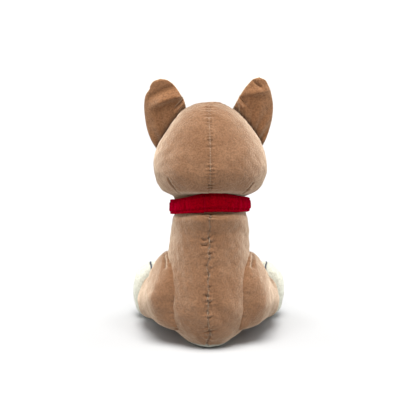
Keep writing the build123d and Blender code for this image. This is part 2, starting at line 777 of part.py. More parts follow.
with BuildPart() as paw_stitches_left:
    for offset in (-0.17, 0.17):
        with BuildSketch(Plane.YZ.offset(FRONT_LEG_OUT + offset * PAW_WIDTH - TOE_THREAD / 2)):
            with Locations((-PAW_FORWARD - PAW_LENGTH / 2, PAW_HEIGHT * 0.55)):
                Rectangle(PAW_LENGTH * 0.55, PAW_HEIGHT * 0.6)
        extrude(amount=TOE_THREAD)
    add(PAW_THREADED, mode=Mode.INTERSECT)
    add(FRONT_LEG_OUTSIDE, mode=Mode.SUBTRACT)

# ---------------------------------------------------------------- writing the parts
MIDDLE_PARTS = {
    "face_panel": face_panel,
    "muzzle_cover": muzzle_cover,
    "muzzle_stuffing": muzzle_stuffing,
    "nose": nose,
    "mouth_stitch": mouth_stitch,
    "head_stuffing": head_stuffing,
    "neck_stuffing": neck_stuffing,
    "collar_left": collar_left,
    "collar_right": collar_right,
    "belly_panel": belly_panel,
    "seat_panel": seat_panel,
    "torso_stuffing": torso_stuffing,
    "pellet_bag": pellet_bag,
}
PAIRED_PARTS = {
    "head_back": head_back_left,
    "eye": eye_left,
    "eye_washer": eye_washer_left,
    "ear_back": ear_back_left,
    "ear_lining": ear_lining_left,
    "back_panel": back_panel_left,
    "hind_leg": hind_leg_left,
    "hind_leg_stuffing": hind_leg_stuffing_left,
    "foot": foot_left,
    "sole": sole_left,
    "foot_stuffing": foot_stuffing_left,
    "toe_stitches": toe_stitches_left,
    "front_leg": front_leg_left,
    "paw": paw_left,
    "front_leg_stuffing": front_leg_stuffing_left,
    "paw_stitches": paw_stitches_left,
}

for label, piece in MIDDLE_PARTS.items():
    piece.part.label = label
    export_step(piece.part, f"parts/{label}.step")

for label, piece in PAIRED_PARTS.items():
    for side, part in zip(("left", "right"), both_sides(piece.part)):
        part.label = f"{label}_{side}"
        export_step(part, f"parts/{part.label}.step")
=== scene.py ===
# %% [markdown]
# # A sitting plush dog
#
# The toy is a set of stuffed fabric bags: a torso, a head, four limbs, two ears and a puffy red
# collar. Each visible cover is a surface worked out with numpy as a grid of points. Fabric pressed
# out by filling bulges between its seams, so the bags are blown up with a short cloth simulation
# that holds the seams still. Seam grooves, puckers and folds are then pressed into a finer grid.

from math import cos, pi, radians, sin

import bpy
import numpy as np
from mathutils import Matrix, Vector


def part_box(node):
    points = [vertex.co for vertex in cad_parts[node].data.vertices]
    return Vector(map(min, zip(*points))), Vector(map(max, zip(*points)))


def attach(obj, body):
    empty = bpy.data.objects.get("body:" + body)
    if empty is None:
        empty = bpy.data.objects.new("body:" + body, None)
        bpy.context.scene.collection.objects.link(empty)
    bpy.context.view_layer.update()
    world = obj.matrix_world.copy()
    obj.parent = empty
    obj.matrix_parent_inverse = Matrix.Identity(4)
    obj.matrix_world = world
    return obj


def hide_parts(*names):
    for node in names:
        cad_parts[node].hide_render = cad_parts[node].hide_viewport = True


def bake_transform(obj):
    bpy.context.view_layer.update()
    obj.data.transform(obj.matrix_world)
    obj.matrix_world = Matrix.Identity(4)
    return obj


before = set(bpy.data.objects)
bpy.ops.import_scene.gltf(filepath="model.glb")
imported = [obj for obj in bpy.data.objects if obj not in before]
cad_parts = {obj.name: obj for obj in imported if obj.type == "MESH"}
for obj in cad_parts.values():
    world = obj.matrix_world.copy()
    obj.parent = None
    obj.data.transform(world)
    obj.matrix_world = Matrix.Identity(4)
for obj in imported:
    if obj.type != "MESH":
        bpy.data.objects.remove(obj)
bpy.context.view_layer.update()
MM = 0.001
SIDES = {"left": 1.0, "right": -1.0}


def box_mm(node):
    """A node's lowest and highest corners, in millimetres."""
    low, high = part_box(node)
    return np.array(low) / MM, np.array(high) / MM


collar_high = box_mm("collar_left")[1]
neck_low, neck_high = box_mm("neck_stuffing")
NECK = (neck_low + neck_high) / 2
LEAN = radians(15.0)
NECK_UP = np.array([0.0, -sin(LEAN), cos(LEAN)])
NECK_BACK = np.array([0.0, cos(LEAN), sin(LEAN)])
print("neck centre", NECK.round(1), "collar outside", round(float(collar_high[0]), 1), "mm")

# %% [markdown]
# ## Grids into meshes
#
# A bag is a grid: rows run along it and columns run round it. The first and last rows can close
# to a single point. Keeping the grid as one array lets each later step, such as a seam groove,
# work on every point at once.

# %% From a grid of points to a mesh


def grid_index(grid, poles):
    """Each grid point's vertex number; a closed end row shares one vertex."""
    rows, cols = grid.shape[:2]
    index = np.arange(rows * cols).reshape(rows, cols)
    if poles[0]:
        index[0] = index[0, 0]
    if poles[1]:
        index[-1] = index[-1, 0]
    used, packed = np.unique(index, return_inverse=True)
    return used, packed.reshape(rows, cols)


def grid_faces(index, closed):
    """Quads between neighbouring rows and columns; those that touch a pole become triangles."""
    right = np.roll(index, -1, axis=1) if closed else index[:, 1:]
    left = index if closed else index[:, :-1]
    quads = np.stack([left[:-1], right[:-1], right[1:], left[1:]], axis=-1).reshape(-1, 4)
    low, high = quads[:, 0] == quads[:, 1], quads[:, 2] == quads[:, 3]
    faces = quads[~low & ~high].tolist()
    faces += quads[low & ~high][:, [0, 2, 3]].tolist()
    return faces + quads[high & ~low][:, [0, 1, 2]].tolist()


def new_piece(name, grid, closed=True, poles=(True, True)):
    """A smooth-shaded mesh object at the origin, from a grid in millimetres."""
    used, index = grid_index(grid, poles)
    points = grid.reshape(-1, 3)[used] * MM
    mesh = bpy.data.meshes.new(name)
    mesh.from_pydata(points.tolist(), [], grid_faces(index, closed))
    mesh.shade_smooth()
    piece = bpy.data.objects.new(name, mesh)
    bpy.context.collection.objects.link(piece)
    return piece


def smooth_step(low, high, value):
    """0 below low, 1 above high, and a smooth turn between."""
    t = np.clip((value - low) / (high - low), 0, 1)
    return t * t * (3 - 2 * t)


def between(points, times, closed):
    """A Catmull-Rom cubic through the points along the first axis, with more points between."""
    if closed:
        padded = np.concatenate([points[-1:], points, points[:2]])
    else:
        first, last = 2 * points[:1] - points[1:2], 2 * points[-1:] - points[-2:-1]
        padded = np.concatenate([first, points, last])
    count = len(padded) - 3
    t = (np.arange(times) / times).reshape(1, times, *([1] * (points.ndim - 1)))
    a, b, c, d = [padded[k : k + count, None] for k in range(4)]
    fine = 0.5 * (
        2 * b + (c - a) * t + (2 * a - 5 * b + 4 * c - d) * t**2 + (3 * b - a - 3 * c + d) * t**3
    )
    fine = fine.reshape(count * times, *points.shape[1:])
    return fine if closed else np.concatenate([fine, points[-1:]])


def finer(grid, along, round_it, closed=True):
    """A grid with more rows and more columns."""
    more_rows = between(grid, along, closed=False)
    return np.swapaxes(between(np.swapaxes(more_rows, 0, 1), round_it, closed), 0, 1)


def normals_of(grid, closed=True):
    """Unit normals: the cross product of the way round and the way along."""
    along = np.gradient(grid, axis=0)
    if closed:
        way_round = (np.roll(grid, -1, axis=1) - np.roll(grid, 1, axis=1)) / 2
    else:
        way_round = np.gradient(grid, axis=1)
    normal = np.cross(way_round, along)
    length = np.linalg.norm(normal, axis=-1, keepdims=True)
    normal = normal / np.maximum(length, 1e-9)
    normal[0], normal[-1] = normal[1].mean(axis=0), normal[-2].mean(axis=0)
    return normal / np.maximum(np.linalg.norm(normal, axis=-1, keepdims=True), 1e-9)


# %% [markdown]
# ## Unevenness
#
# Hand-stuffed fabric is never even. A sum of a few slanted sine waves gives a soft random field
# that needs no lookup, has no grid of its own, and is the same on every run.

# %% A soft random field


def lumps(points, size, seed):
    """A sum of 14 sine waves in random directions, about one lump per size in millimetres."""
    rng = np.random.default_rng(seed)
    ways = rng.normal(size=(14, 3))
    ways *= (2 * pi / size) * rng.uniform(0.6, 1.5, (14, 1)) / np.linalg.norm(ways, axis=1)[:, None]
    return np.sin(points @ ways.T + rng.uniform(0, 2 * pi, 14)).sum(-1) / 4.0


def near_path(grid, path):
    """For every grid point: the distance to a path, and how far along the path that is."""
    steps = np.linalg.norm(np.diff(path, axis=0), axis=1)
    run = np.concatenate([[0], np.cumsum(steps)])
    count = max(12, int(run[-1] / 0.8))
    at = np.linspace(0, run[-1], count)
    dense = np.stack([np.interp(at, run, path[:, k]) for k in range(3)], axis=1)
    flat = grid.reshape(-1, 3)
    gap = np.full(len(flat), 99.0)
    where = np.zeros(len(flat))
    close = np.all((flat > dense.min(0) - 14) & (flat < dense.max(0) + 14), axis=1)
    apart = np.linalg.norm(flat[close][:, None] - dense[None], axis=2)
    gap[close], where[close] = apart.min(1), at[apart.argmin(1)]
    return gap.reshape(grid.shape[:2]), where.reshape(grid.shape[:2])


def needle_marks(gap, along, apart=0.0, pitch=3.0, size=0.8):
    """1 at each needle hole and 0 between: one row on the seam, or two rows beside it."""
    along_row = smooth_step(-0.2, 0.6, np.sin(2 * pi * along / pitch))
    return along_row * np.exp(-(((gap - apart) / size) ** 2))


def sewn(gap, along, seed, depth=1.2, width=1.3, pucker=0.35, reach=4.5, pitch=4.6):
    """How far a seam presses the surface: a narrow valley, a low swell beside it, and short
    uneven creases that run out from the stitches."""
    place = np.stack([along, gap * 0.3, np.full_like(along, seed)], axis=-1)
    uneven = lumps(place, 17.0, seed)
    crease = np.sin(2 * pi * along / pitch + 2.2 * lumps(place, 11.0, seed + 1))
    strength = pucker * np.clip(0.8 + uneven, 0.1, 2.2)
    valley = -depth * np.exp(-((gap / width) ** 2)) * (1 + 0.25 * uneven)
    swell = 0.25 * depth * np.exp(-(((gap - 2.6 * width) / (1.6 * width)) ** 2))
    return valley + swell + strength * crease * np.exp(-((gap / reach) ** 2))


def creased(grid, creases, width=0.9):
    """Short creases, each given by a path and a depth: deepest at the seam, gone at the end."""
    total = np.zeros(grid.shape[:2])
    for path, depth in creases:
        gap, along = near_path(grid, path)
        length = np.linalg.norm(np.diff(path, axis=0), axis=1).sum()
        fade = smooth_step(length, 0.5 * length, along)
        total -= depth * fade * np.exp(-((gap / width) ** 2))
        total += 0.5 * depth * fade * np.exp(-(((gap - 2.2 * width) / (1.2 * width)) ** 2))
    return total


def marks_show(along, middle, spread, size, seed, least):
    """How strongly the needle marks show: a value that drifts slowly along the seam."""
    line = np.stack([along, 0 * along, 0 * along], -1)
    return np.clip(middle + spread * lumps(line, size, seed), least, 1.2)


sample = np.random.default_rng(1).uniform(0, 40, (500, 3))
print("a lump field over 40 mm goes down to", lumps(sample, 12, 3).round(2).min())

# %% [markdown]
# ## Filling the bags
#
# Stuffing presses a bag outward everywhere except where a seam holds it. Blender's cloth has a
# pressure force for this. The mesh swells for a few frames with gravity off, the seam points stay
# pinned, and the move is capped so that the bag stays in the room its filling really has.

# %% Cloth pressure with the seams held


def fill_bag(grid, held, limit, pressure=6.0, frames=14):
    """Runs cloth with pressure on a closed bag. held is 1 where a seam holds the fabric still."""
    bag = new_piece("bag_being_filled", grid)
    used, index = grid_index(grid, (True, True))
    pins = bag.vertex_groups.new(name="seams")
    strength = held.reshape(-1)[used]
    for level in (1.0, 0.5):
        chosen = np.flatnonzero(np.abs(strength - level) < 0.25).tolist()
        pins.add(chosen, level, "REPLACE")
    cloth = bag.modifiers.new("filling", "CLOTH")
    cloth.settings.vertex_group_mass = "seams"
    cloth.settings.use_pressure = True
    cloth.settings.uniform_pressure_force = pressure
    cloth.settings.effector_weights.gravity = 0
    cloth.settings.quality = 6
    cloth.settings.mass = 0.2
    cloth.settings.tension_stiffness = 8
    cloth.settings.compression_stiffness = 8
    cloth.settings.bending_stiffness = 0.3
    scene = bpy.context.scene
    for step in range(1, frames + 1):
        scene.frame_set(step)
    swollen = bag.evaluated_get(bpy.context.evaluated_depsgraph_get()).to_mesh()
    after = np.zeros(len(used) * 3, np.float32)
    swollen.vertices.foreach_get("co", after)
    scene.frame_set(1)
    bpy.data.objects.remove(bag)
    after = after.reshape(-1, 3)[index].astype(float) / MM
    move = np.nan_to_num(after - grid)
    length = np.linalg.norm(move, axis=-1, keepdims=True)
    return grid + move * np.minimum(1.0, limit / np.maximum(length, 1e-9))


def farthest_move(after, before):
    """The farthest that any point went, in millimetres."""
    return round(float(np.linalg.norm(after - before, axis=-1).max()), 2)


# %% [markdown]
# ## The materials
#
# The covers are short sheared pile, like velour: thousands of fine hairs that scatter light, look
# lighter at the edge of a form and darker where the pile is brushed or pressed. A fine bump stands
# for the hairs, sheen gives the light edge, and soft noise turns the nap. Cream and red plush use
# the same group with other values.

# %% The nap, shared by every pile fabric


def node_group(name, inputs, outputs):
    """An empty shader group with named sockets: each input is (kind, name, value)."""
    group = bpy.data.node_groups.new(name, "ShaderNodeTree")
    for kind, label, value in inputs:
        socket = group.interface.new_socket(label, in_out="INPUT", socket_type=kind)
        socket.default_value = value
    for kind, label in outputs:
        group.interface.new_socket(label, in_out="OUTPUT", socket_type=kind)
    start, end = group.nodes.new("NodeGroupInput"), group.nodes.new("NodeGroupOutput")
    return group, start, end


def add_node(tree, kind, **values):
    """A node with some of its properties set."""
    node = tree.nodes.new(kind)
    for key, value in values.items():
        setattr(node, key, value)
    return node


def noise_node(tree, place, scale, detail, roughness=0.6):
    """Noise on object coordinates."""
    noise = add_node(tree, "ShaderNodeTexNoise")
    noise.inputs["Scale"].default_value = scale
    noise.inputs["Detail"].default_value = detail
    noise.inputs["Roughness"].default_value = roughness
    tree.links.new(place.outputs["Object"], noise.inputs["Vector"])
    return noise


def ramp_node(tree, source, low, high, low_value, high_value):
    """Turns a value between low and high into one between low_value and high_value."""
    ramp = add_node(tree, "ShaderNodeMapRange", interpolation_type="SMOOTHSTEP")
    for label, value in zip(("From Min", "From Max", "To Min", "To Max"), (low, high, low_value, high_value)):
        ramp.inputs[label].default_value = value
    tree.links.new(source, ramp.inputs["Value"])
    return ramp


nap, nap_in, nap_out = node_group(
    "pile_nap",
    [
        ("NodeSocketColor", "Pile", (0.3, 0.17, 0.1, 1)),
        ("NodeSocketColor", "Brushed", (0.4, 0.25, 0.16, 1)),
        ("NodeSocketColor", "Pressed", (0.16, 0.08, 0.04, 1)),
        ("NodeSocketColor", "Seam", (0.06, 0.03, 0.015, 1)),
        ("NodeSocketFloat", "Bump", 0.5),
    ],
    [("NodeSocketColor", "Color"), ("NodeSocketVector", "Normal")],
)
place = add_node(nap, "ShaderNodeTexCoord")
patches = noise_node(nap, place, 60, 3, 0.5)
strands = noise_node(nap, place, 680, 3, 0.7)
hairs = noise_node(nap, place, 2600, 2, 0.7)
patch_mask = ramp_node(nap, patches.outputs["Fac"], 0.35, 0.75, 0.0, 0.45)
strand_mask = ramp_node(nap, strands.outputs["Fac"], 0.32, 0.62, 0.75, 0.0)
brushed = add_node(nap, "ShaderNodeMix", data_type="RGBA")
nap.links.new(patch_mask.outputs["Result"], brushed.inputs["Factor"])
nap.links.new(nap_in.outputs["Pile"], brushed.inputs[6])
nap.links.new(nap_in.outputs["Brushed"], brushed.inputs[7])
pressed = add_node(nap, "ShaderNodeMix", data_type="RGBA")
nap.links.new(strand_mask.outputs["Result"], pressed.inputs["Factor"])
nap.links.new(brushed.outputs[2], pressed.inputs[6])
nap.links.new(nap_in.outputs["Pressed"], pressed.inputs[7])
# an attribute darkens the pile towards a dark colour along the seams; the same attribute also carries painted
# shade in a haunch fold, along the toe grooves and where the ears meet the head
seam_and_shade_attribute = add_node(nap, "ShaderNodeAttribute", attribute_name="seam_and_painted_shade")
seam_and_shade_mix = add_node(nap, "ShaderNodeMix", data_type="RGBA")
nap.links.new(seam_and_shade_attribute.outputs["Fac"], seam_and_shade_mix.inputs["Factor"])
nap.links.new(pressed.outputs[2], seam_and_shade_mix.inputs[6])
nap.links.new(nap_in.outputs["Seam"], seam_and_shade_mix.inputs[7])
nap.links.new(seam_and_shade_mix.outputs[2], nap_out.inputs["Color"])
strand_bump = add_node(nap, "ShaderNodeBump")
strand_bump.inputs["Distance"].default_value = 0.0008
nap.links.new(nap_in.outputs["Bump"], strand_bump.inputs["Strength"])
nap.links.new(strands.outputs["Fac"], strand_bump.inputs["Height"])
hair_bump = add_node(nap, "ShaderNodeBump")
hair_bump.inputs["Distance"].default_value = 0.0003
nap.links.new(nap_in.outputs["Bump"], hair_bump.inputs["Strength"])
nap.links.new(hairs.outputs["Fac"], hair_bump.inputs["Height"])
nap.links.new(strand_bump.outputs["Normal"], hair_bump.inputs["Normal"])
nap.links.new(hair_bump.outputs["Normal"], nap_out.inputs["Normal"])


def pile_fabric(name, pile, brushed_to, pressed_to, sheen, sheen_tint, bump=0.6, shine=0.1):
    """A pile fabric: the nap group for colour and normal, and sheen in the shader itself."""
    material = bpy.data.materials.new(name)
    material.use_nodes = True
    tree = material.node_tree
    shader = tree.nodes["Principled BSDF"]
    group = add_node(tree, "ShaderNodeGroup", node_tree=nap)
    seam_and_shade_tone = [c * 0.3 for c in pressed_to]
    tones = {"Pile": pile, "Brushed": brushed_to, "Pressed": pressed_to, "Seam": seam_and_shade_tone}
    for label, value in tones.items():
        group.inputs[label].default_value = (*value, 1)
    group.inputs["Bump"].default_value = bump
    tree.links.new(group.outputs["Color"], shader.inputs["Base Color"])
    tree.links.new(group.outputs["Normal"], shader.inputs["Normal"])
    shader.inputs["Roughness"].default_value = 0.9
    shader.inputs["Specular IOR Level"].default_value = shine
    shader.inputs["Sheen Weight"].default_value = sheen
    shader.inputs["Sheen Roughness"].default_value = 0.5
    shader.inputs["Sheen Tint"].default_value = (*sheen_tint, 1)
    return material


TAN = pile_fabric(
    "tan_pile_fabric",
    (0.212, 0.098, 0.044),
    (0.295, 0.157, 0.083),
    (0.11, 0.045, 0.018),
    1.0,
    (1.0, 0.82, 0.63),
    0.8,
)
# painted light: the ears' backs are the head's tan pile, made lighter here for their steep, weakly lit faces
EAR_TAN_PAINTED_LIGHTER = pile_fabric(
    "ear_tan_pile_painted_lighter",
    (0.25, 0.112, 0.047),
    (0.34, 0.17, 0.082),
    (0.11, 0.038, 0.012),
    0.9,
    (1.0, 0.78, 0.56),
    0.8,
)
CREAM = pile_fabric(
    "cream_pile_fabric", (0.66, 0.66, 0.56), (0.72, 0.72, 0.63), (0.46, 0.45, 0.36), 0.35, (1.0, 1.0, 0.95)
)
RED = pile_fabric(
    "red_plush", (0.20, 0.0, 0.003), (0.27, 0.0, 0.006), (0.09, 0.0, 0.001), 0.5, (1.0, 0.0, 0.08), 0.8, 0.0
)
print("pile fabrics:", ", ".join(m.name for m in (TAN, EAR_TAN_PAINTED_LIGHTER, CREAM, RED)))

# %% Thread, nose cloth and eye plastic


def plain_finish(name, color, rough, scale, strength, **constants):
    """A finish with a little colour and relief noise over its whole surface."""
    material = bpy.data.materials.new(name)
    material.use_nodes = True
    tree = material.node_tree
    shader = tree.nodes["Principled BSDF"]
    where = add_node(tree, "ShaderNodeTexCoord")
    noise = noise_node(tree, where, scale, 3)
    tone = add_node(tree, "ShaderNodeMix", data_type="RGBA")
    tone.inputs[6].default_value = (*[c * 0.6 for c in color], 1)
    tone.inputs[7].default_value = (*[min(1, c * 1.5) for c in color], 1)
    tree.links.new(noise.outputs["Fac"], tone.inputs["Factor"])
    tree.links.new(tone.outputs[2], shader.inputs["Base Color"])
    bump = add_node(tree, "ShaderNodeBump")
    bump.inputs["Strength"].default_value = strength
    bump.inputs["Distance"].default_value = 0.0003
    tree.links.new(noise.outputs["Fac"], bump.inputs["Height"])
    tree.links.new(bump.outputs["Normal"], shader.inputs["Normal"])
    shader.inputs["Roughness"].default_value = rough
    for label, value in constants.items():
        shader.inputs[label.replace("_", " ")].default_value = value
    return material


NAVY_THREAD = plain_finish("navy_thread", (0.010, 0.012, 0.035), 0.55, 2200, 0.5, Sheen_Weight=0.2)
NOSE_CLOTH = plain_finish("nose_cloth", (0.014, 0.011, 0.012), 0.5, 1500, 0.5, Sheen_Weight=0.15)
EYE_GLOSS = plain_finish("eye_plastic", (0.008, 0.006, 0.006), 0.08, 90, 0.02, Coat_Weight=0.6)
print("threads and trims ready")

# %% [markdown]
# ## Rings
#
# The torso and the head are stacks of tilted ovals. Each row of the little tables gives the ring's
# height, its centre's depth, its half width, its half depth, and its tilt, which follows the neck's
# lean near the collar.

# %% A stack of tilted ovals


def turns_round(cols):
    """The columns' angles from the back; they lie closer together there, where the seam is."""
    even = np.linspace(0, 2 * pi, cols, endpoint=False)
    return even - 0.45 * np.sin(even)


def ring_stack(table, cols, rows_between):
    """Points at centre + width * (-sin a) across + depth * cos a along the tilted depth line."""
    rings = between(np.array(table, float), rows_between, closed=False)
    height, depth, half_width, half_depth, tilt = [rings[:, k, None] for k in range(5)]
    angle = turns_round(cols)[None]
    slope = np.radians(tilt)
    half_width, half_depth = np.maximum(half_width, 0.001), np.maximum(half_depth, 0.001)
    out = half_depth * np.cos(angle)
    x = -half_width * np.sin(angle)
    y = depth + out * np.cos(slope)
    z = height + out * np.sin(slope)
    return np.stack([x, y, z], axis=-1)


def neck_ring(along, half_width, half_depth, tilt=15.0):
    """A ring of the tables that sits a distance along the neck's leaning line."""
    centre = NECK + NECK_UP * along
    return (centre[2], centre[1], half_width, half_depth, tilt)


COLS = 72
torso_table = [
    (0.1, 9, 0.01, 0.01, 0),
    (0.1, 9, 7.5, 8.0, 0),
    (0.2, 9, 11.8, 14.6, 0),
    (2.2, 7.6, 17.0, 21.8, 0),
    (6.4, 5.4, 24.0, 27.3, 0),
    (12.0, 3.2, 31.2, 32.4, 0),
    (20.0, 1.2, 37.2, 36.6, 0),
    (30.0, 0.2, 40.4, 39.6, 0),
    (42.0, -0.4, 40.6, 39.8, 0),
    (54.0, -1.2, 38.8, 38.4, 2),
    (68.0, -2.2, 36.2, 36.4, 5),
    (82.0, -3.0, 34.2, 34.8, 8),
    (95.0, -3.4, 33.0, 33.6, 11),
    neck_ring(-13.0, 32.0, 32.8, 14.0),
    neck_ring(-9.5, 31.0, 31.6),
    neck_ring(-7.2, 30.2, 30.2),
    neck_ring(-4.5, 29.6, 29.6),
    neck_ring(-1.0, 29.4, 29.4),
    neck_ring(-0.5, 24.0, 24.0),
    neck_ring(-0.6, 0.01, 0.01),
]
head_table = [
    neck_ring(0.6, 0.01, 0.01),
    neck_ring(0.4, 24.0, 24.0),
    neck_ring(0.6, 28.0, 28.0),
    neck_ring(3.5, 28.8, 28.8),
    neck_ring(6.8, 30.4, 29.6),
    neck_ring(9.3, 35.6, 32.8, 14.0),
    (130.0, -6.8, 40.4, 37.0, 12),
    (136.0, -7.6, 44.4, 40.0, 9),
    (143.0, -8.0, 47.0, 41.6, 5),
    (150.0, -8.0, 48.0, 42.2, 2),
    (157.5, -8.0, 47.3, 41.6, 0),
    (166.5, -8.0, 44.4, 39.2, 0),
    (175.0, -8.0, 40.0, 35.6, 0),
    (183.0, -8.0, 35.2, 31.6, 0),
    (190.5, -8.0, 29.2, 26.4, 0),
    (197.0, -8.0, 22.8, 20.8, 0),
    (201.6, -8.0, 15.6, 14.2, 0),
    (204.0, -8.0, 8.4, 7.8, 0),
    (204.6, -8.0, 0.01, 0.01, 0),
]
torso_coarse = ring_stack(torso_table, COLS, 2)
head_coarse = ring_stack(head_table, COLS, 2)
# the jaw and the upper back stand this far to the toy's right, and the crown comes back to the middle
LEANS_OVER = 1.5
head_height = head_coarse[..., 2]
head_coarse[..., 0] -= LEANS_OVER * smooth_step(118, 134, head_height) * smooth_step(214, 172, head_height)
torso_coarse[..., 0] -= LEANS_OVER * smooth_step(70, 98, torso_coarse[..., 2])
print("torso grid", torso_coarse.shape[:2], "head grid", head_coarse.shape[:2])

# %% Places on the back of a bag


def on_back(grid, x, z):
    """The point of the back of a bag that lies nearest to a place seen from behind."""
    miss = np.hypot(grid[..., 0] - x, grid[..., 2] - z) + 1e3 * (grid[..., 1] < NECK[1] - 6)
    return grid.reshape(-1, 3)[int(miss.argmin())]


def back_path(grid, places):
    """A smooth path over the back of a bag through places given as (x, z)."""
    fine_places = between(np.array(places, float), 6, closed=False)
    return np.array([on_back(grid, x, z) for x, z in fine_places])


print("a point of the head's back:", on_back(head_coarse, 0, 150).round(1))

# %% [markdown]
# ## The torso
#
# A pear-shaped bag that sits on its flat bottom. Two back panels meet in a seam down the middle,
# a pale belly panel closes the front and a pale round panel closes the seat. The bag is filled as a
# whole, then cut into its panels along the seams, so that the panels meet exactly.

# %% Filling and sewing the torso

def columns_near(cols, column, spread):
    """1 at a column and its neighbours up to the spread, counted round the ring."""
    gap = np.abs((np.arange(cols) - column + cols / 2) % cols - cols / 2)
    return (gap <= spread).astype(float)


belly_turn = int(np.argmin(np.abs(turns_round(COLS) - radians(147))))
held = np.zeros(torso_coarse.shape[:2])
for column in (0, belly_turn, COLS - belly_turn):
    held = np.maximum(held, columns_near(COLS, column, 0)[None])
held = np.maximum(held, (torso_coarse[..., 2] < 3.0).astype(float))
along_neck = (torso_coarse - NECK) @ NECK_UP
held = np.maximum(held, (along_neck > -9).astype(float))
torso_full = fill_bag(torso_coarse, held, 1.6)
print("torso swelled by up to", farthest_move(torso_full, torso_coarse), "mm")

FINER = 4
torso = finer(torso_full, 2 * FINER, FINER)
cols = torso.shape[1]
seam_cols = {"back": 0, "belly_left": (COLS - belly_turn) * FINER, "belly_right": belly_turn * FINER}
seat_row = int(np.argmin(np.abs(torso[:, 0, 2] - 3.4) + 99 * (np.arange(len(torso)) < 20)))
neck_row = int(np.argmax(((torso - NECK) @ NECK_UP)[:, 0] > -8.5))
torso_out = normals_of(torso)
press = np.zeros(torso.shape[:2])
seams = {}
wander = 0.9 * lumps(torso * [0, 0, 1], 17.0, 4) * np.exp(-((torso[..., 0] / 8) ** 2)) * (torso[..., 1] > 0)
torso[..., 0] += wander
for number, (label, column) in enumerate(seam_cols.items()):
    path = torso[seat_row:neck_row, column]
    gap, along = near_path(torso, path)
    marks = needle_marks(gap, along)
    press += sewn(gap, along, 11 + number, depth=0.85, width=1.0, pucker=0.55, reach=4.6) - 0.4 * marks
    patchy = marks_show(along, 0.8, 0.25, 9.0, 23, 0.2)
    seams[label] = 0.16 * np.exp(-((gap / 0.8) ** 2)) + 0.7 * marks * patchy
back_creases = [
    ([(0, 96.8), (3, 96.2), (8, 97.6)], 0.75),
    ([(0, 97.8), (-2.5, 99.6), (-5, 101.5)], 0.55),
    ([(0.5, 92.4), (4, 91.4), (8.5, 92.3)], 0.70),
    ([(0, 84.0), (-4, 85.4)], 0.40),
    ([(0, 74.0), (5, 75.6)], 0.50),
    ([(0, 71.8), (-5.5, 73.6)], 0.60),
    ([(0, 67.4), (4.5, 66.0)], 0.40),
    ([(0, 57.0), (-4.5, 58.6)], 0.55),
    ([(0, 49.6), (5.5, 51.4)], 0.65),
    ([(0, 46.2), (4.5, 44.2)], 0.60),
    ([(0, 44.0), (-4, 46.4)], 0.45),
    ([(0, 35.4), (4, 37.2)], 0.50),
    ([(0, 31.0), (-4.5, 32.6)], 0.45),
    ([(0, 24.0), (3.5, 22.6)], 0.35),
]
press += creased(torso, [(back_path(torso, path), 1.35 * depth) for path, depth in back_creases])
gap, along = near_path(torso, np.concatenate([torso[seat_row], torso[seat_row, :1]]))
press += sewn(gap, along, 17, depth=0.5, width=0.8, pucker=0.10)
seams["seat"] = 0.5 * np.exp(-((gap / 0.9) ** 2))
press += 0.45 * lumps(torso, 26.0, 5) + 0.18 * lumps(torso, 9.0, 6)
press *= smooth_step(-5.5, -9.5, (torso - NECK) @ NECK_UP) * smooth_step(0.3, 3.0, torso[..., 2])
torso = torso + torso_out * press[..., None]
torso[..., 2] = np.maximum(torso[..., 2], 0.05)
torso_shade = np.clip(np.max(list(seams.values()), axis=0), 0, 0.95)
print("torso fine grid", torso.shape[:2], "seat row", seat_row, "neck row", neck_row)

# %% [markdown]
# ## Cutting panels
#
# A panel is a block of the bag's rows and columns. It gets the cloth's thickness inward, so each
# panel is a closed piece with its rim hidden in the seam. An attribute carries how deep in a seam
# each point lies, for the darker colour there; on some pieces it also carries painted shade.

# %% Panels from a bag


def pick(grid, rows, col_from, col_to):
    """The block of rows and columns, going round past the last column if needed."""
    count = grid.shape[1]
    chosen = np.arange(col_from, col_to + 1) % count
    return grid[rows][:, chosen]


def shade_by(piece, shade, poles=(False, False)):
    """Stores how deep in a seam each point lies, and on some pieces the painted shade in creases and at the
    ears' feet.
    """
    used, _ = grid_index(np.zeros((*shade.shape, 3)), poles)
    attribute = piece.data.attributes.new("seam_and_painted_shade", "FLOAT", "POINT")
    attribute.data.foreach_set("value", shade.reshape(-1)[used].astype(np.float32))


def cloth_thickness(piece, thickness=1.1):
    """Gives a panel the cloth's thickness, inward."""
    wall = piece.modifiers.new("cloth", "SOLIDIFY")
    wall.thickness = thickness * MM
    wall.offset = -1
    wall.use_even_offset = False
    return piece


def panel(name, grid, shade, rows, col_from, col_to, material, pole=None, ring=False):
    """One panel of a bag, or a whole ring of it that closes at a pole."""
    if ring:
        poles = (pole == "first", pole == "last")
        piece = new_piece(name, grid[rows], True, poles)
        shade_by(piece, shade[rows], poles)
    else:
        poles = (pole == "first", pole == "last")
        piece = new_piece(name, pick(grid, rows, col_from, col_to), False, poles)
        shade_by(piece, pick(shade, rows, col_from, col_to), poles)
    piece.data.materials.append(material)
    return cloth_thickness(piece)


end = cols
body_rows = slice(seat_row, len(torso) - 16)
torso_pieces = {
    "back_cover_right": panel(
        "back_cover_right", torso, torso_shade, body_rows, 0, seam_cols["belly_right"], TAN
    ),
    "back_cover_left": panel(
        "back_cover_left", torso, torso_shade, body_rows, seam_cols["belly_left"], end, TAN
    ),
    "belly_cover": panel(
        "belly_cover",
        torso,
        torso_shade,
        body_rows,
        seam_cols["belly_right"],
        seam_cols["belly_left"],
        CREAM,
    ),
    "seat_cover": panel(
        "seat_cover", torso, torso_shade, slice(0, seat_row + 1), 0, 0, CREAM, "first", True
    ),
}
for label, node in (
    ("back_cover_right", "back_panel_right"),
    ("back_cover_left", "back_panel_left"),
    ("belly_cover", "belly_panel"),
    ("seat_cover", "seat_panel"),
):
    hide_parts(node)
    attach(torso_pieces[label], "torso")
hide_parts("torso_stuffing", "pellet_bag")
print("torso panels:", ", ".join(torso_pieces))
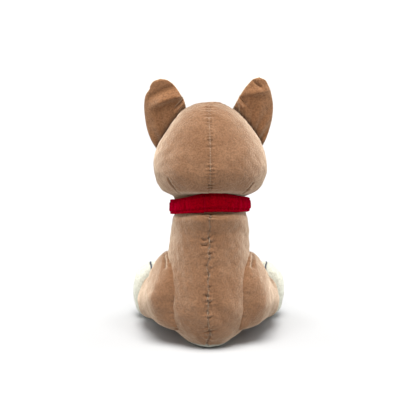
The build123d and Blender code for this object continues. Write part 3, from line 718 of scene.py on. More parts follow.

# %% [markdown]
# ## The head
#
# Two back panels meet in a seam from the crown to the collar, and the face panel closes the front.
# Short darts at the back of the jaw turn the cloth under. The lower edge runs down inside the
# collar.

# %% Filling and sewing the head

face_turn = int(np.argmin(np.abs(turns_round(COLS) - radians(112))))
held = np.zeros(head_coarse.shape[:2])
for column in (0, face_turn, COLS - face_turn):
    held = np.maximum(held, columns_near(COLS, column, 0)[None])
along_neck = (head_coarse - NECK) @ NECK_UP
held = np.maximum(held, (along_neck < 9).astype(float))
head_full = fill_bag(head_coarse, held, 1.4)
print("head swelled by up to", farthest_move(head_full, head_coarse), "mm")

head = finer(head_full, 2 * FINER, FINER)
head_out = normals_of(head)
along_neck = (head - NECK) @ NECK_UP
first_row = int(np.argmax(along_neck[:, 0] > 8.0))
face_cols = {"right": face_turn * FINER, "left": (COLS - face_turn) * FINER}


press = np.zeros(head.shape[:2])
gap, along = near_path(head, head[first_row:, 0])
marks = needle_marks(gap, along, apart=1.5, pitch=2.7, size=0.62)
press += sewn(gap, along, 31, depth=0.6, width=0.8, pucker=0.36, reach=3.6, pitch=3.9) - 0.4 * marks
patchy = marks_show(along, 0.75, 0.35, 11.0, 24, 0.15)
head_seams = {"back": 0.08 * np.exp(-((gap / 0.7) ** 2)) + 0.5 * marks * patchy}
for number, column in enumerate(face_cols.values()):
    gap, along = near_path(head, head[first_row:, column])
    marks = needle_marks(gap, along)
    press += sewn(gap, along, 33 + number, depth=0.8, width=1.1, pucker=0.22) - 0.25 * marks
    head_seams[f"face{number}"] = 0.35 * np.exp(-((gap / 1.0) ** 2)) + 0.6 * marks
darts = {
    "left": back_path(head, [(33.3, 147.0), (30.8, 142.6), (27.6, 137.8), (24.5, 133.2)]),
    "right": back_path(head, [(-37.0, 142.4), (-34.6, 139.4), (-31.6, 136.0), (-28.8, 132.8)]),
}
for number, path in enumerate(darts.values()):
    gap, along = near_path(head, path)
    press += sewn(gap, along, 41 + number, depth=0.8, width=0.8, pucker=0.12, reach=2.5)
    head_seams[f"dart{number}"] = 0.4 * np.exp(-((gap / 0.8) ** 2))
press += 0.40 * lumps(head, 30.0, 8) + 0.16 * lumps(head, 10.0, 9)
fade = smooth_step(204.9, 204.2, head[..., 2]) * smooth_step(4.0, 9.0, along_neck)
head = head + head_out * (press * fade)[..., None]
head_shade = np.clip(np.max(list(head_seams.values()), axis=0), 0, 0.9) * fade
start_row = int(np.argmax(((head - NECK) @ NECK_UP)[:, 0] > 0.5)) + 1
rows = slice(max(start_row, 16), len(head))
print("head fine grid", head.shape[:2], "panels start at row", rows.start)

# %% The head's panels

cols = head.shape[1]
head_pieces = {
    "head_cover_right": ("head_back_right", 0, face_cols["right"], TAN, "tan_pile"),
    "face_cover": ("face_panel", face_cols["right"], face_cols["left"], TAN, "tan_pile"),
    "head_cover_left": ("head_back_left", face_cols["left"], cols, TAN, "tan_pile"),
}
for name, (node, col_from, col_to, material, slot_name) in head_pieces.items():
    piece = panel(name, head, head_shade, rows, col_from, col_to, material, "last")
    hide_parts(node)
    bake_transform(piece)
    head_pieces[name] = piece
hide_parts("head_stuffing", "neck_stuffing")
print("head panels:", ", ".join(head_pieces))

# %% [markdown]
# ## Tubes along a path
#
# Threads, the front legs and the rounded forms of the feet are all sections carried along a line.
# A section is given by its centre, two half sizes and the two directions they lie along.

# %% Sections carried along a line


def tube(path, radius, sides=8, flat=1.0):
    """Circles of a radius about a path; the radius can change along it and shrinks at the ends."""
    path = np.asarray(path, float)
    moved = np.linalg.norm(np.diff(path, axis=0), axis=1) > 0.05
    path = path[np.concatenate([[True], moved])]
    way = np.gradient(path, axis=0)
    way /= np.maximum(np.linalg.norm(way, axis=1, keepdims=True), 1e-9)
    side = np.cross(way, [0.31, 0.42, 0.85])
    side /= np.linalg.norm(side, axis=1, keepdims=True)
    other = np.cross(way, side)
    angle = np.linspace(0, 2 * pi, sides, endpoint=False)[None, :, None]
    size = np.broadcast_to(np.asarray(radius, float), (len(path),)).copy()
    size[0] = size[-1] = 0.01
    ring = np.cos(angle) * side[:, None] + flat * np.sin(angle) * other[:, None]
    return path[:, None] + size[:, None, None] * ring


def face_outward(piece):
    """Turns every face of a closed mesh outward."""
    import bmesh

    work = bmesh.new()
    work.from_mesh(piece.data)
    bmesh.ops.remove_doubles(work, verts=work.verts, dist=1e-6)
    bmesh.ops.recalc_face_normals(work, faces=work.faces)
    work.to_mesh(piece.data)
    work.free()
    piece.data.shade_smooth()


def thread(name, path, radius, material, sides=8):
    """A thread that follows a path over the cloth."""
    piece = new_piece(name, tube(path, radius, sides))
    face_outward(piece)
    piece.data.materials.append(material)
    return piece


print("a thread's section is", tube([[0, 0, 0], [0, 0, 5], [0, 0, 9]], 0.5).shape)

# %% [markdown]
# ## The hind legs
#
# Each haunch is a dome against the torso's side that runs forward into the leg, in one piece of
# cloth. From above, its outline is a loft along the dog's length: for a row at one depth, a rounded
# section with an inner, an outer, a lower and an upper limit.

# %% Lofting a haunch with its leg

# depth behind the middle, then the section's outline as (across, height): outer side, upper outer,
# top, upper inner, inner side, lower inner, bottom, lower outer
haunch_table = [
    (27.7, [(28.4, 34.0)] * 8),
    (27.2, [(32.0, 35), (31.0, 41), (29.4, 45), (28, 42), (27, 34), (26.5, 27), (27.5, 23), (30.5, 27)]),
    (25.4, [(41.0, 35), (37.0, 49), (30.8, 54.5), (27, 50), (25, 35), (24, 20), (26.5, 16), (35.0, 21)]),
    (20.2, [(49.0, 36), (43.0, 54), (32.6, 65.0), (27, 58), (25, 36), (25, 18), (30, 14.2), (41.5, 19.5)]),
    (12.0, [(53.2, 36), (47.2, 57), (34.8, 72.4), (28, 66), (26, 36), (26, 16), (32, 13.6), (46.5, 19)]),
    (3.0, [(55.2, 36), (48.8, 59), (36.4, 75.6), (29, 69), (27, 36), (27, 16), (34, 13.6), (49, 19)]),
    (-6.0, [(56.6, 34), (49.6, 58), (37, 75.4), (29, 68), (27, 34), (28, 16), (37, 13), (52, 17.5)]),
    (-14.0, [(59.0, 31), (50.4, 54), (38, 71.8), (30, 61.4), (28, 32), (29, 15), (39, 11), (55, 15.8)]),
    (-21.0, [(61.2, 28), (52, 48.0), (39.5, 66), (31, 54), (29.5, 30), (31, 13.5), (43, 9.2), (57.2, 14)]),
    (-28.0, [(62.2, 26), (54, 42.5), (43, 56), (33, 47), (31, 27), (33, 11.5), (46, 7.2), (57.8, 12.5)]),
    (-35.0, [(62.0, 25), (56, 38), (46, 47), (35, 40), (32.3, 24.5), (35, 9.8), (47, 5.6), (57.8, 11.3)]),
    (-42.0, [(61, 24), (57, 37), (47, 43.5), (37, 37.5), (33.5, 24), (36.5, 10), (47.5, 4.2), (57.5, 10.5)]),
    (-47.4, [(59.0, 24), (56, 36), (47, 42), (38, 36.5), (34.5, 24), (38, 11.5), (47, 6), (56, 12)]),
    (-48.6, [(56, 24), (53.5, 32.5), (47, 37), (41, 32.5), (38.5, 24), (41, 15), (47, 11), (53.5, 15)]),
    (-48.8, [(47.1, 24.1)] * 8),
]


def outline_loft(table, cols_between, rows_between):
    """Closed outlines stacked along the depth line, with cubics round them and between them."""
    outlines = np.array([outline for _, outline in table], float)
    depths = np.array([depth for depth, _ in table], float)[:, None, None] + 0 * outlines[..., :1]
    control = np.concatenate([outlines[..., :1], depths, outlines[..., 1:]], axis=-1)
    return finer(control, rows_between, cols_between)


def rounded(value, power):
    """A cosine or sine with its corners filled out."""
    return np.sign(value) * np.abs(value) ** power


haunch_coarse = outline_loft(haunch_table, 8, 3)
beside_torso, at_foot = haunch_coarse[..., 0] < 33, haunch_coarse[..., 1] < -46
on_floor = haunch_coarse[..., 2] < 3
held = (beside_torso | at_foot | on_floor).astype(float)
haunch_full = fill_bag(haunch_coarse, held, 1.5)
print("haunch swelled by up to", farthest_move(haunch_full, haunch_coarse), "mm")

# %% Folds and seams of a haunch


def side_of(grid, side):
    """The grid on the dog's left, or mirrored to its right with its columns turned about."""
    if side > 0:
        return grid
    turned = grid[:, ::-1].copy()
    turned[..., 0] *= -1
    return turned


def nearest_on(grid, places):
    """The grid points nearest to given places."""
    flat = grid.reshape(-1, 3)
    return np.array([flat[np.linalg.norm(flat - p, axis=1).argmin()] for p in np.asarray(places, float)])


# where the haunch is sewn to the torso, from the top of the haunch to the seat
hip_seam = [
    (34.4, 2.0, 76.0),
    (32.4, 10.0, 74.2),
    (31.9, 18.0, 60.5),
    (29.0, 26.8, 44.0),
    (26.8, 28.2, 25.5),
    (24.2, 25.6, 12.2),
]
hind_pieces = {}
for name, side in SIDES.items():
    haunch = finer(haunch_full, 3, 3)
    haunch_out = -normals_of(haunch)
    if np.mean(haunch_out[len(haunch) // 2, 0] * [1, 0, 0]) < 0:
        haunch_out = -haunch_out
    seed = 50 if side > 0 else 60
    rim = between(np.array(hip_seam), 8, closed=False)
    gap, along = near_path(haunch, rim)
    marks = needle_marks(gap, along)
    press = sewn(gap, along, seed, depth=0.5, width=1.2, pucker=0.28, reach=4.4, pitch=4.4) - 0.25 * marks
    shade = 0.2 * np.exp(-((gap / 1.2) ** 2)) + 0.7 * marks
    folds = [
        ([(38.2, 2.0, 75.0), (36.6, 8.0, 71.6), (35.0, 13.0, 66.5)], 1.5, 1.7),
        ([(52.0, -14.0, 50.0), (50.0, -4.0, 44.0), (46.0, 6.0, 38.0)], 0.8, 5.0),
        ([(45.0, -22.0, 60.0), (50.0, -26.0, 53.0), (56.0, -28.0, 44.0)], 1.2, 3.2),
    ]
    for number, (places, depth, width) in enumerate(folds):
        path = nearest_on(haunch, between(np.array(places), 8, closed=False))
        gap, along = near_path(haunch, path)
        press -= depth * np.exp(-((gap / width) ** 2)) * (1 + 0.3 * lumps(haunch, 12, seed + number))
        # painted shade: the first fold, at the top of the haunch, is also darkened in colour
        shade = np.maximum(shade, 0.55 * np.exp(-((gap / 1.1) ** 2)) * (number == 0))
    press += 0.45 * lumps(haunch, 24.0, seed + 5) + 0.16 * lumps(haunch, 9.0, seed + 6)
    edge = smooth_step(-47.5, -44.0, haunch[..., 1]) * smooth_step(35.6, 34.0, haunch[..., 1])
    haunch = haunch + haunch_out * (press * edge)[..., None]
    haunch[..., 2] = np.maximum(haunch[..., 2], 0.6)
    piece = new_piece(f"hind_leg_cover_{name}", side_of(haunch, side))
    shade_by(piece, (shade * edge * 0.8)[:, :: int(side)], (True, True))
    face_outward(piece)
    piece.data.materials.append(TAN)
    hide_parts(f"hind_leg_{name}", f"hind_leg_stuffing_{name}")
    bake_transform(piece)
    hind_pieces[name] = piece
print("hind legs:", ", ".join(p.name for p in hind_pieces.values()))

# %% [markdown]
# ## The feet
#
# A pale egg of cloth stands on its edge with the toes up, closed in front by a flatter sole panel.
# Three embroidered lines over the top edge mark the toes. They are heavy thread laid on the pile.

# %% Feet, soles and toe lines

foot_table = [
    (-45.6, [(48.0, 27.0)] * 8),
    (-46.2, [(56, 28), (54, 37), (48, 41), (42, 37), (40, 28), (42, 17), (48, 12), (54, 17)]),
    (-48.0, [(62.4, 28), (59, 42), (49, 48.6), (39, 43), (35, 28), (38, 12), (48.6, 4.4), (59, 11)]),
    (-51.4, [(65.6, 28), (61.6, 44), (49.8, 51.6), (38, 45.4), (33, 28), (36.4, 9), (49, 1.0), (62.4, 8.6)]),
    (-56.0, [(66.8, 28), (62.6, 44.6), (50, 53.2), (38, 46.4), (32.4, 28), (36, 8), (49, 0.1), (63.6, 7.6)]),
    (
        -61.0,
        [(66.6, 28), (62.4, 44.4), (50, 53), (38.2, 46.2), (32.8, 28), (36.4, 8), (49, 0.1), (63.2, 7.8)],
    ),
    (
        -67.2,
        [(64.4, 28), (60.6, 42.4), (50, 50.4), (40, 43.6), (35.6, 28), (38.6, 10.4), (49.4, 2.2), (61, 10.4)],
    ),
    (
        -70.6,
        [(61.2, 27.4), (58.2, 38.4), (50, 45.2), (42, 39.8), (38.8, 27.6), (41, 14), (49.6, 6.6), (58.6, 13.6)],
    ),
    (
        -73.2,
        [(55.6, 26.6), (54.2, 32.4), (50, 36.4), (45.8, 33), (44, 26.8), (45.2, 20), (49.8, 15.8), (54.4, 20)],
    ),
    (-73.9, [(49.8, 26.4)] * 8),
]
# where the sole panel is sewn to the foot
SOLE_SEAM = -67.2
foot_coarse = outline_loft(foot_table, 6, 3)
foot_coarse[..., 2] -= 2.4 * smooth_step(30, 52, foot_coarse[..., 2])
at_ankle, on_floor = foot_coarse[..., 1] > -47, foot_coarse[..., 2] < 2.5
held = (at_ankle | on_floor | (np.abs(foot_coarse[..., 1] - SOLE_SEAM) < 0.6)).astype(float)
foot_full = fill_bag(foot_coarse, held, 1.2)
# the finished foot moves back against the leg
FOOT_BACK = np.array([0, 2.5, 0])
over_toe_depths = [-73.0, -67.0, -60.0, -55.0, -51.0, -48.6]
over_toe_heights = [40.0, 48.8, 51.6, 50.6, 47.6, 43.4]
for name, side in SIDES.items():
    foot = finer(foot_full, 3, 3)
    seed = 70 if side > 0 else 80
    foot_out = -normals_of(foot)
    if foot_out[len(foot) // 2, 0, 0] < 0:
        foot_out = -foot_out
    sole_row = int(np.argmin(np.abs(foot[:, 0, 1] - SOLE_SEAM)))
    gap, along = near_path(foot, np.concatenate([foot[sole_row], foot[sole_row, :1]]))
    press = sewn(gap, along, seed, depth=0.8, width=1.1, pucker=0.25, reach=3.5)
    shade = 0.6 * np.exp(-((gap / 1.1) ** 2))
    toe_paths = {}
    for toe, (out, last) in {"inner": (43.8, -59.0), "middle": (51.6, -48.6), "outer": (58.0, -63.0)}.items():
        depths = np.linspace(last, -68.5, 16)
        ups = np.interp(depths, over_toe_depths, over_toe_heights)
        outs = out - 1.6 * smooth_step(-58.0, -49.0, depths)
        toe_paths[toe] = nearest_on(foot, np.stack([outs, depths, ups], axis=1))
        toe_gap, toe_along = near_path(foot, toe_paths[toe])
        press -= 0.9 * np.exp(-((toe_gap / 1.4) ** 2))
        # painted shade: the pressed toe grooves are also darkened in colour under the thread
        shade = np.maximum(shade, 0.4 * np.exp(-((toe_gap / 1.2) ** 2)))
    press += 0.3 * lumps(foot, 16.0, seed + 1) + 0.12 * lumps(foot, 7.0, seed + 2)
    press *= smooth_step(-46.2, -48.5, foot[..., 1])
    foot = foot + foot_out * press[..., None] + FOOT_BACK
    foot[..., 2] = np.maximum(foot[..., 2], 0.02)
    for label, rows, poles, node in (
        ("foot_cover", slice(0, sole_row + 1), (True, False), "foot"),
        ("sole_cover", slice(sole_row, len(foot)), (False, True), "sole"),
    ):
        piece = new_piece(f"{label}_{name}", side_of(foot[rows], side), True, poles)
        shade_by(piece, shade[rows][:, :: int(side)], poles)
        cloth_thickness(piece)
        piece.data.materials.append(CREAM)
        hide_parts(f"{node}_{name}")
        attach(piece, f"hind_limb_{name}")
    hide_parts(f"foot_stuffing_{name}")
    for toe, path in toe_paths.items():
        laid = (path + FOOT_BACK) * [side, 1, 1] + [0, 0, -0.55]
        line = thread(f"toe_line_{toe}_{name}", laid, 0.62, NAVY_THREAD)
        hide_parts(f"toe_stitches_{name}")
        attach(line, f"hind_limb_{name}")

# %% [markdown]
# ## The front legs
#
# Straight stuffed tubes that reach down from the chest to small pale paws. One path runs down the
# leg and turns forward into the paw; the sections turn with it about the heel.

# %% Front legs and paws

# centre depth and height, half width, half length, turn of the section from level, in degrees
front_table = [
    (-33.6, 100.0, 0.01, 0.01, 16),
    (-34.2, 98.8, 5.4, 5.4, 16),
    (-35.2, 95.4, 9.2, 9.2, 16),
    (-37.0, 88.0, 11.3, 11.3, 16),
    (-41.2, 73.0, 11.0, 11.0, 16),
    (-46.8, 53.0, 10.7, 10.7, 16),
    (-52.2, 33.5, 10.4, 10.4, 16),
    (-56.0, 19.6, 10.2, 10.3, 18),
    (-57.2, 16.0, 10.4, 10.6, 24),
    (-59.2, 12.4, 11.6, 11.4, 44),
    (-62.6, 10.4, 12.4, 10.3, 74),
    (-68.6, 9.4, 12.5, 9.3, 90),
    (-74.0, 8.8, 11.2, 8.2, 90),
    (-77.8, 8.0, 7.8, 5.8, 90),
    (-79.2, 7.4, 3.4, 2.6, 90),
    (-79.4, 7.3, 0.01, 0.01, 90),
]


def bent_tube(table, cols, rows_between):
    """Ovals whose plane turns from level to upright: centre + width across + length turned."""
    rings = between(np.array(table, float), rows_between, closed=False)
    depth, height, half_width, half_length, turn = [rings[:, k, None] for k in range(5)]
    angle = np.linspace(0, 2 * pi, cols, endpoint=False)[None]
    slope = np.radians(turn)
    half_width, half_length = np.maximum(half_width, 0.001), np.maximum(half_length, 0.001)
    out = half_length * np.cos(angle)
    x = 17 + half_width * np.sin(angle)
    return np.stack([x, depth + out * np.cos(slope), height - out * np.sin(slope)], axis=-1)


leg_coarse = bent_tube(front_table, 40, 3)
cuff_row = 8 * 3
held = np.zeros(leg_coarse.shape[:2])
held[cuff_row] = 1
held[leg_coarse[..., 2] < 2.0] = 1
leg_full = fill_bag(leg_coarse, held, 1.0)
for name, side in SIDES.items():
    leg = finer(leg_full, 3, 3)
    seed = 90 if side > 0 else 100
    leg_out = normals_of(leg)
    if leg_out[len(leg) // 3, 30, 0] < 0:
        leg_out = -leg_out
    row = cuff_row * 3
    gap, along = near_path(leg, np.concatenate([leg[row], leg[row, :1]]))
    press = sewn(gap, along, seed, depth=0.9, width=1.2, pucker=0.28, reach=3.5)
    shade = 0.7 * np.exp(-((gap / 1.1) ** 2))
    seam_col = 0
    gap, along = near_path(leg, leg[4 : row - 2, seam_col])
    press += sewn(gap, along, seed + 3, depth=0.8, width=1.1, pucker=0.3, reach=3.5)
    shade = np.maximum(shade, 0.7 * np.exp(-((gap / 1.1) ** 2)))
    toe_paths = []
    for out in (-3.6, 3.6):
        depths = np.linspace(-70.5, -79.0, 12)
        ups = np.interp(depths, [-79.0, -76.5, -70.5], [8.0, 14.5, 19.5])
        toe_paths.append(nearest_on(leg, np.stack([17 + out + 0 * depths, depths, ups], axis=1)))
        toe_gap, _ = near_path(leg, toe_paths[-1])
        press -= 0.7 * np.exp(-((toe_gap / 1.3) ** 2))
    press += 0.25 * lumps(leg, 14.0, seed + 1) + 0.12 * lumps(leg, 6.0, seed + 2)
    leg = leg + leg_out * press[..., None]
    leg[..., 2] = np.maximum(leg[..., 2], 0.02)
    for label, rows, poles, node, material, slot_name in (
        ("front_leg_cover", slice(0, row + 1), (True, False), "front_leg", TAN, "tan_pile"),
        ("paw_cover", slice(row, len(leg)), (False, True), "paw", CREAM, "cream_pile"),
    ):
        piece = new_piece(f"{label}_{name}", side_of(leg[rows], side), True, poles)
        shade_by(piece, shade[rows][:, :: int(side)], poles)
        cloth_thickness(piece)
        piece.data.materials.append(material)
        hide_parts(f"{node}_{name}")
        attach(piece, f"front_limb_{name}")
    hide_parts(f"front_leg_stuffing_{name}")
    for number, path in enumerate(toe_paths):
        line = thread(f"paw_line_{number}_{name}", path * [side, 1, 1], 0.5, NAVY_THREAD)
        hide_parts(f"paw_stitches_{name}")
        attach(line, f"front_limb_{name}")

# %% [markdown]
# ## The ears
#
# An ear is a leaf of two padded layers, sewn round the edge, cupped forward and gathered with small
# tucks at its foot. Each layer is a flat tube: sections run from the inner edge to the outer edge,
# thin at both ends. The two ears are not alike: one is round with a soft fold across it, the other
# is narrower at its tip.

# %% The shape of an ear

EAR_ROOT = np.array([32.5, -20.0, 180.0])
EAR_UP = np.array([sin(radians(9.5)), 0, cos(radians(9.5))])
EAR_ACROSS = np.array([cos(radians(9.5)), 0, -sin(radians(9.5))])
# along each edge from the foot to the tip: share of the way, then across and up
ear_edges = {
    "left": (
        [(0, -14.6, 10.5), (0.12, -16.0, 14.5), (0.25, -15.9, 20), (0.42, -14.4, 26), (0.6, -12.0, 31.6),
         (0.78, -8.6, 37.6), (0.92, -4.4, 41.8), (1, 0.6, 43.7)],
        [(0, 14.6, -16), (0.12, 17.8, -8), (0.25, 19.7, 2), (0.42, 19.6, 14), (0.6, 18.2, 24),
         (0.76, 15.6, 31.4), (0.83, 11.4, 36.2), (0.87, 10.4, 38.8), (0.94, 6.8, 42.4), (1, 0.6, 43.7)],
    ),
    "right": (
        [(0, -14.8, 11), (0.12, -14.2, 15.5), (0.25, -12.8, 20), (0.42, -11.0, 26), (0.6, -8.0, 33.4),
         (0.78, -4.8, 39), (0.92, -1.8, 43), (1, 2.6, 45.2)],
        [(0, 14.8, -16), (0.12, 17.4, -8), (0.25, 19.2, 1), (0.42, 19.9, 11), (0.6, 18.6, 23),
         (0.78, 14.6, 34.4), (0.86, 11.6, 39.4), (0.93, 8.2, 43.6), (1, 2.6, 45.2)],
    ),
}


def ear_tucks(across, share, up, name):
    """How far the leaf stands forward: tucks that fan out of its foot, and a fold across it."""
    fan = across / (10 + 26 * share)
    if name == "left":
        tucks = 1.0 * np.sin(2 * pi * fan * 1.6 + 0.8) * np.exp(-((share / 0.30) ** 2))
        ridge = 26.0 - 0.16 * across - 0.012 * (across + 2) ** 2
        fold = 4.4 * np.exp(-(((up - ridge) / 3.4) ** 2)) * smooth_step(19, 6, np.abs(across + 3))
        fold -= 2.2 * np.exp(-(((up - ridge - 7.5) / 3.0) ** 2)) * smooth_step(17, 4, np.abs(across))
        nick = -3.0 * np.exp(-(((up - 18.0 + 0.75 * (across + 9)) / 1.3) ** 2)) * smooth_step(-5, -9, across)
        nick += 1.2 * np.exp(-(((up - 14.6 + 0.75 * (across + 9)) / 1.4) ** 2)) * smooth_step(-5, -9, across)
    else:
        tucks = 1.5 * np.sin(2 * pi * fan * 2.2 + 2.3) * np.exp(-((share / 0.42) ** 2))
        near_middle, near_tip = smooth_step(15, 4, np.abs(across - 2)), smooth_step(8, 1, np.abs(across - 3))
        fold = 2.8 * np.exp(-(((up - 32 - 0.30 * across) / 3.4) ** 2)) * near_middle
        fold -= 2.2 * np.exp(-(((up - 38.5 + 0.55 * (across - 3)) / 1.5) ** 2)) * near_tip
        nick = -2.0 * np.exp(-(((up - 24 + 0.9 * (across + 9)) / 1.4) ** 2)) * smooth_step(-2, -8, across)
        nick += 1.1 * np.exp(-(((up - 20 + 0.9 * (across + 9)) / 1.4) ** 2)) * smooth_step(-2, -8, across)
    return tucks + fold + nick


def ear_leaf(name, forward, thickness, cols=72, rows=90, seed=1):
    """A padded layer: flat rings between the two edges, bent about an upright cylinder."""
    share = np.linspace(0, 1, rows)
    share = 1 - (1 - share) ** 1.35
    inner, outer = [between(np.array(edge, float), 12, closed=False) for edge in ear_edges[name]]
    left_edge = np.stack([np.interp(share, inner[:, 0], inner[:, k]) for k in (1, 2)], axis=1)
    right_edge = np.stack([np.interp(share, outer[:, 0], outer[:, k]) for k in (1, 2)], axis=1)
    angle = np.linspace(0, 2 * pi, cols, endpoint=False)
    mix = (0.5 + 0.5 * np.cos(angle))[None, :, None]
    flat = left_edge[:, None] * (1 - mix) + right_edge[:, None] * mix
    across, up = flat[..., 0], flat[..., 1]
    puff = np.abs(np.sin(angle))[None] ** 0.55 * np.sign(np.sin(angle))[None]
    fullness = smooth_step(0, 0.08, 1 - share)[:, None] * 0.92 + 0.08
    thick = thickness / 2 * fullness * puff
    bowl = across**2 / (2 * 34.0) + 0.05 * np.maximum(up - 26, 0)
    tuck = ear_tucks(across, share[:, None], up, name)
    lump = 0.22 * lumps(np.stack([across, up, puff + 0 * up], axis=-1), 12.0, seed)
    hem = 0.35 * np.exp(-(((1 - np.abs(np.cos(angle))[None]) / 0.012) ** 2)) + 0 * across
    depth = -(bowl - tuck * 0.8) + forward + thick * (1 - hem) + lump * np.abs(puff)
    grid = EAR_ROOT + across[..., None] * EAR_ACROSS + up[..., None] * EAR_UP
    grid = grid + depth[..., None] * np.array([0, 1, 0])
    return np.concatenate([grid[:1].mean(axis=1, keepdims=True) + 0 * grid[:1], grid])


ear_pieces = {}
for name, side in SIDES.items():
    for label, forward, node, material, slot_name in (
        ("ear_back_cover", 1.3, "ear_back", EAR_TAN_PAINTED_LIGHTER, "tan_pile"),
        ("ear_inner_cover", -1.5, "ear_lining", CREAM, "cream_pile"),
    ):
        grid = ear_leaf(name, forward, 2.9, seed=110 + int(side))
        heights, widths = np.array(head_table)[9:, 0], np.array(head_table)[9:, 2]
        # painted shade: the ear's colour darkens towards the edge of the head, where the ear meets it
        from_head = grid[..., 0] + LEANS_OVER * side - np.interp(grid[..., 2], heights, widths)
        painted_contact_shade = np.clip(np.exp(-from_head / 3.0), 0, 1) * 0.9
        piece = new_piece(f"{label}_{name}", side_of(grid, side))
        shade_by(piece, painted_contact_shade[:, :: int(side)], (True, True))
        face_outward(piece)
        piece.data.materials.append(material)
        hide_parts(f"{node}_{name}")
        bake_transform(piece)
        ear_pieces[f"{label}_{name}"] = piece
print("ears:", ", ".join(ear_pieces))

# %% [markdown]
# ## The collar
#
# A soft padded band of red plush round the neck, sewn from two lengths. It is a ring with a fat
# rounded section. A line of stitches near each edge draws the cloth in, and the padding wrinkles
# across the band.

# %% The padded band


def collar_band(turn_from, turn_to, cols=44, rows=200, seed=120):
    """Sections round the neck's line: a rounded oblong that changes a little from place to place."""
    turn = np.linspace(turn_from, turn_to, rows)[:, None]
    angle = np.linspace(0, 2 * pi, cols, endpoint=False)[None]
    reach = rounded(np.cos(angle), 0.85)
    rise = rounded(np.sin(angle), 0.75)
    round_x, round_y = 34 * np.cos(turn) + 0 * angle, 34 * np.sin(turn) + 0 * angle
    place = np.stack([round_x, round_y, 6 * rise + 0 * turn], axis=-1)
    puff = 1 + 0.10 * lumps(place, 16.0, seed)
    wrinkle = 0.34 * lumps(place * [1.6, 1.6, 0.45], 7.0, seed + 1) * (reach > 0)
    near_edges = np.exp(-(((rise - 0.70) / 0.10) ** 2)) + np.exp(-(((rise + 0.70) / 0.10) ** 2))
    line = 0.75 * near_edges * (reach > 0)
    stitch = 1 + 0.35 * np.sin(turn * 34 * 2 * pi / 3.4)
    behind = np.maximum(0, np.sin(turn))
    peak = np.maximum(0, 1 - np.abs(np.cos(turn) + 0.03) / 0.95) * behind
    swing = 2.1 * behind**4 - 1.2 * np.cos(turn) - 1.2
    half_high = (6.1 + 1.8 * peak + 0.3 * lumps(place, 24.0, seed + 3)) * rise + 1.9 * peak * (rise + 1) / 2
    ends = smooth_step(0, 0.03, (turn - turn_from)) * smooth_step(0, 0.03, (turn_to - turn))
    squeeze = 0.72 + 0.28 * ends
    far = 32.2 + 2.3 * reach * puff * squeeze + (wrinkle - line * stitch) * smooth_step(0.2, 0.7, reach)
    high = half_high * (0.9 + 0.1 * ends) + swing
    across = np.array([1.0, 0, 0])
    ring = np.cos(turn)[..., None] * across + np.sin(turn)[..., None] * NECK_BACK
    return NECK + [-1.3, 0, 0] + far[..., None] * ring + high[..., None] * NECK_UP


join_turn = radians(90 - 8)
collar_pieces = {}
for name, turns, node in (
    ("collar_band_left", (join_turn - pi, join_turn), "collar_left"),
    ("collar_band_right", (join_turn, join_turn + pi), "collar_right"),
):
    grid = collar_band(*turns, seed=120 if "left" in name else 130)
    first, last = grid[:1].mean(axis=1, keepdims=True), grid[-1:].mean(axis=1, keepdims=True)
    grid = np.concatenate([first + 0 * grid[:1], grid, last + 0 * grid[-1:]])
    piece = new_piece(name, grid)
    face_outward(piece)
    piece.data.materials.append(RED)
    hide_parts(node)
    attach(piece, "collar")
    collar_pieces[name] = piece
print("collar:", ", ".join(collar_pieces))

# %% [markdown]
# ## The face
#
# The face is simple: a padded pale muzzle with a shallow groove, a dark cloth nose, an embroidered
# mouth and two glossy safety eyes. The eyes are the turned plastic parts themselves with a better
# finish.

# %% Muzzle, nose and mouth

nose_low, nose_high = box_mm("nose")


def egg_grid(centre, half, cols=72, rows=54):
    """An egg: rings across the depth line, from its back pole to its front pole."""
    turn = np.linspace(0, pi, rows)[:, None]
    angle = np.linspace(0, 2 * pi, cols, endpoint=False)[None]
    ring = np.sin(turn)
    x = half[0] * ring * np.cos(angle)
    y = half[1] * np.cos(turn) + 0 * angle
    z = half[2] * ring * np.sin(angle)
    return np.asarray(centre) + np.stack([x, y, z], axis=-1)


muzzle_centre = np.array([0, -46.6, 140.0])
muzzle = egg_grid(muzzle_centre, (21.0, 18.0, 15.4))
offset = muzzle - muzzle_centre
front = smooth_step(4, -10, offset[..., 1])
cleft = -1.6 * np.exp(-((offset[..., 0] / 1.8) ** 2)) * smooth_step(3, -3, offset[..., 2]) * front
cheeks = 0.9 * np.exp(-(((np.abs(offset[..., 0]) - 9) / 5) ** 2) - (((offset[..., 2] + 1) / 6) ** 2)) * front
press = cleft + cheeks + 0.25 * lumps(muzzle, 12.0, 141)
way = offset / np.maximum(np.linalg.norm(offset, axis=-1, keepdims=True), 1e-6)
muzzle = muzzle + way * press[..., None]
muzzle_piece = new_piece("muzzle_cover_soft", muzzle)
face_outward(muzzle_piece)
muzzle_piece.data.materials.append(CREAM)
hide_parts("muzzle_cover", "muzzle_stuffing")
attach(muzzle_piece, "head")

nose_centre = (nose_low + nose_high) / 2 + [0, 0.6, 0]
nose_grid = egg_grid(nose_centre, (7.0, 4.2, 4.7), 48, 36)
offset = nose_grid - nose_centre
nose_grid[..., 0] = nose_centre[0] + offset[..., 0] * (1 + 0.055 * offset[..., 2])
nose_piece = new_piece("nose_pad", nose_grid)
face_outward(nose_piece)
nose_piece.data.materials.append(NOSE_CLOTH)
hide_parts("nose")
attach(nose_piece, "head")

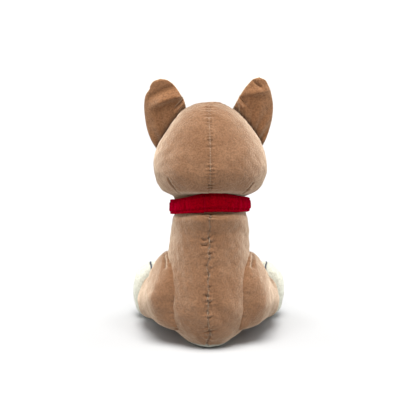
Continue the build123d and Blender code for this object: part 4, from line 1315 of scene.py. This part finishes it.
mouth_lines = {
    "mouth_drop": [(0, -70, 143.5), (0, -70, 141), (0, -70, 138.5), (0, -70, 136.0)],
}
half_smile = [(0, -70, 136.0), (2.4, -70, 134.2), (5.4, -70, 133.6), (8.6, -66, 134.8), (10.8, -62, 137)]
for name, side in SIDES.items():
    mouth_lines[f"mouth_smile_{name}"] = [(side * x, y, z) for x, y, z in half_smile]
for name, places in mouth_lines.items():
    path = nearest_on(muzzle, between(np.array(places, float), 5, closed=False))
    line = thread(name, path + [0, -0.1, 0], 0.5, NAVY_THREAD)
    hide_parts("mouth_stitch")
    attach(line, "head")
for name in SIDES:
    for node, material in ((f"eye_{name}", EYE_GLOSS), (f"eye_washer_{name}", EYE_GLOSS)):
        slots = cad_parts[node].material_slots
        if slots:
            slots[0].material = material
        else:
            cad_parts[node].data.materials.append(material)
print("face: muzzle, nose,", ", ".join(mouth_lines))

# %% [markdown]
# ## The floor, the light and the camera
#
# A pale floor under soft, even studio light. Three suns with wide discs give the broad, shadowless
# look of a product table; the one from above leaves the soft contact shadow.

# %% Studio

floor_size = 14.0
floor_mesh = bpy.data.meshes.new("floor")
corners = [(floor_size * x, floor_size * y, 0) for x, y in ((-1, -1), (1, -1), (1, 1), (-1, 1))]
floor_mesh.from_pydata(corners, [], [(0, 1, 2, 3)])
floor = bpy.data.objects.new("floor", floor_mesh)
bpy.context.collection.objects.link(floor)
floor_paint = bpy.data.materials.new("floor_paint")
floor_paint.use_nodes = True
floor_paint.node_tree.nodes["Principled BSDF"].inputs["Base Color"].default_value = (0.42, 0.42, 0.42, 1)
floor_paint.node_tree.nodes["Principled BSDF"].inputs["Roughness"].default_value = 0.8
floor_mesh.materials.append(floor_paint)

world = bpy.data.worlds.new("studio")
world.use_nodes = True
world.node_tree.nodes["Background"].inputs["Color"].default_value = (1, 1, 1, 1)
world.node_tree.nodes["Background"].inputs["Strength"].default_value = 0.10
bpy.context.scene.world = world


def soft_sun(name, turn, height, spread, strength):
    """A sun with a wide disc, given by its turn round the toy and its height, in degrees."""
    lamp = bpy.data.lights.new(name, "SUN")
    lamp.angle, lamp.energy = radians(spread), strength
    holder = bpy.data.objects.new(name, lamp)
    level = cos(radians(height))
    way = Vector((sin(radians(turn)) * level, cos(radians(turn)) * level, sin(radians(height))))
    holder.location = way
    holder.rotation_euler = way.to_track_quat("Z", "Y").to_euler()
    bpy.context.collection.objects.link(holder)


soft_sun("top_light", 0, 73, 40, 6.4)
soft_sun("left_light", 104, 30, 60, 1.65)
soft_sun("right_light", -104, 30, 60, 1.65)

camera = bpy.data.cameras.new("camera")
camera.lens = 152.7
camera.sensor_width = 36
camera_holder = bpy.data.objects.new("camera", camera)
bpy.context.collection.objects.link(camera_holder)
aim = Vector((0.0004, -0.008, 0.1135))
rise, away = radians(15.5), 1.5
camera_holder.location = aim + Vector((0, cos(rise), sin(rise))) * away
camera_holder.rotation_euler = (aim - camera_holder.location).to_track_quat("-Z", "Y").to_euler()
camera.clip_start, camera.clip_end = 0.01, 20
bpy.context.scene.camera = camera_holder
bpy.context.scene.view_settings.view_transform = "Standard"
print("camera", round(away, 2), "m from the toy,", round(rise * 180 / pi, 1), "degrees above level")
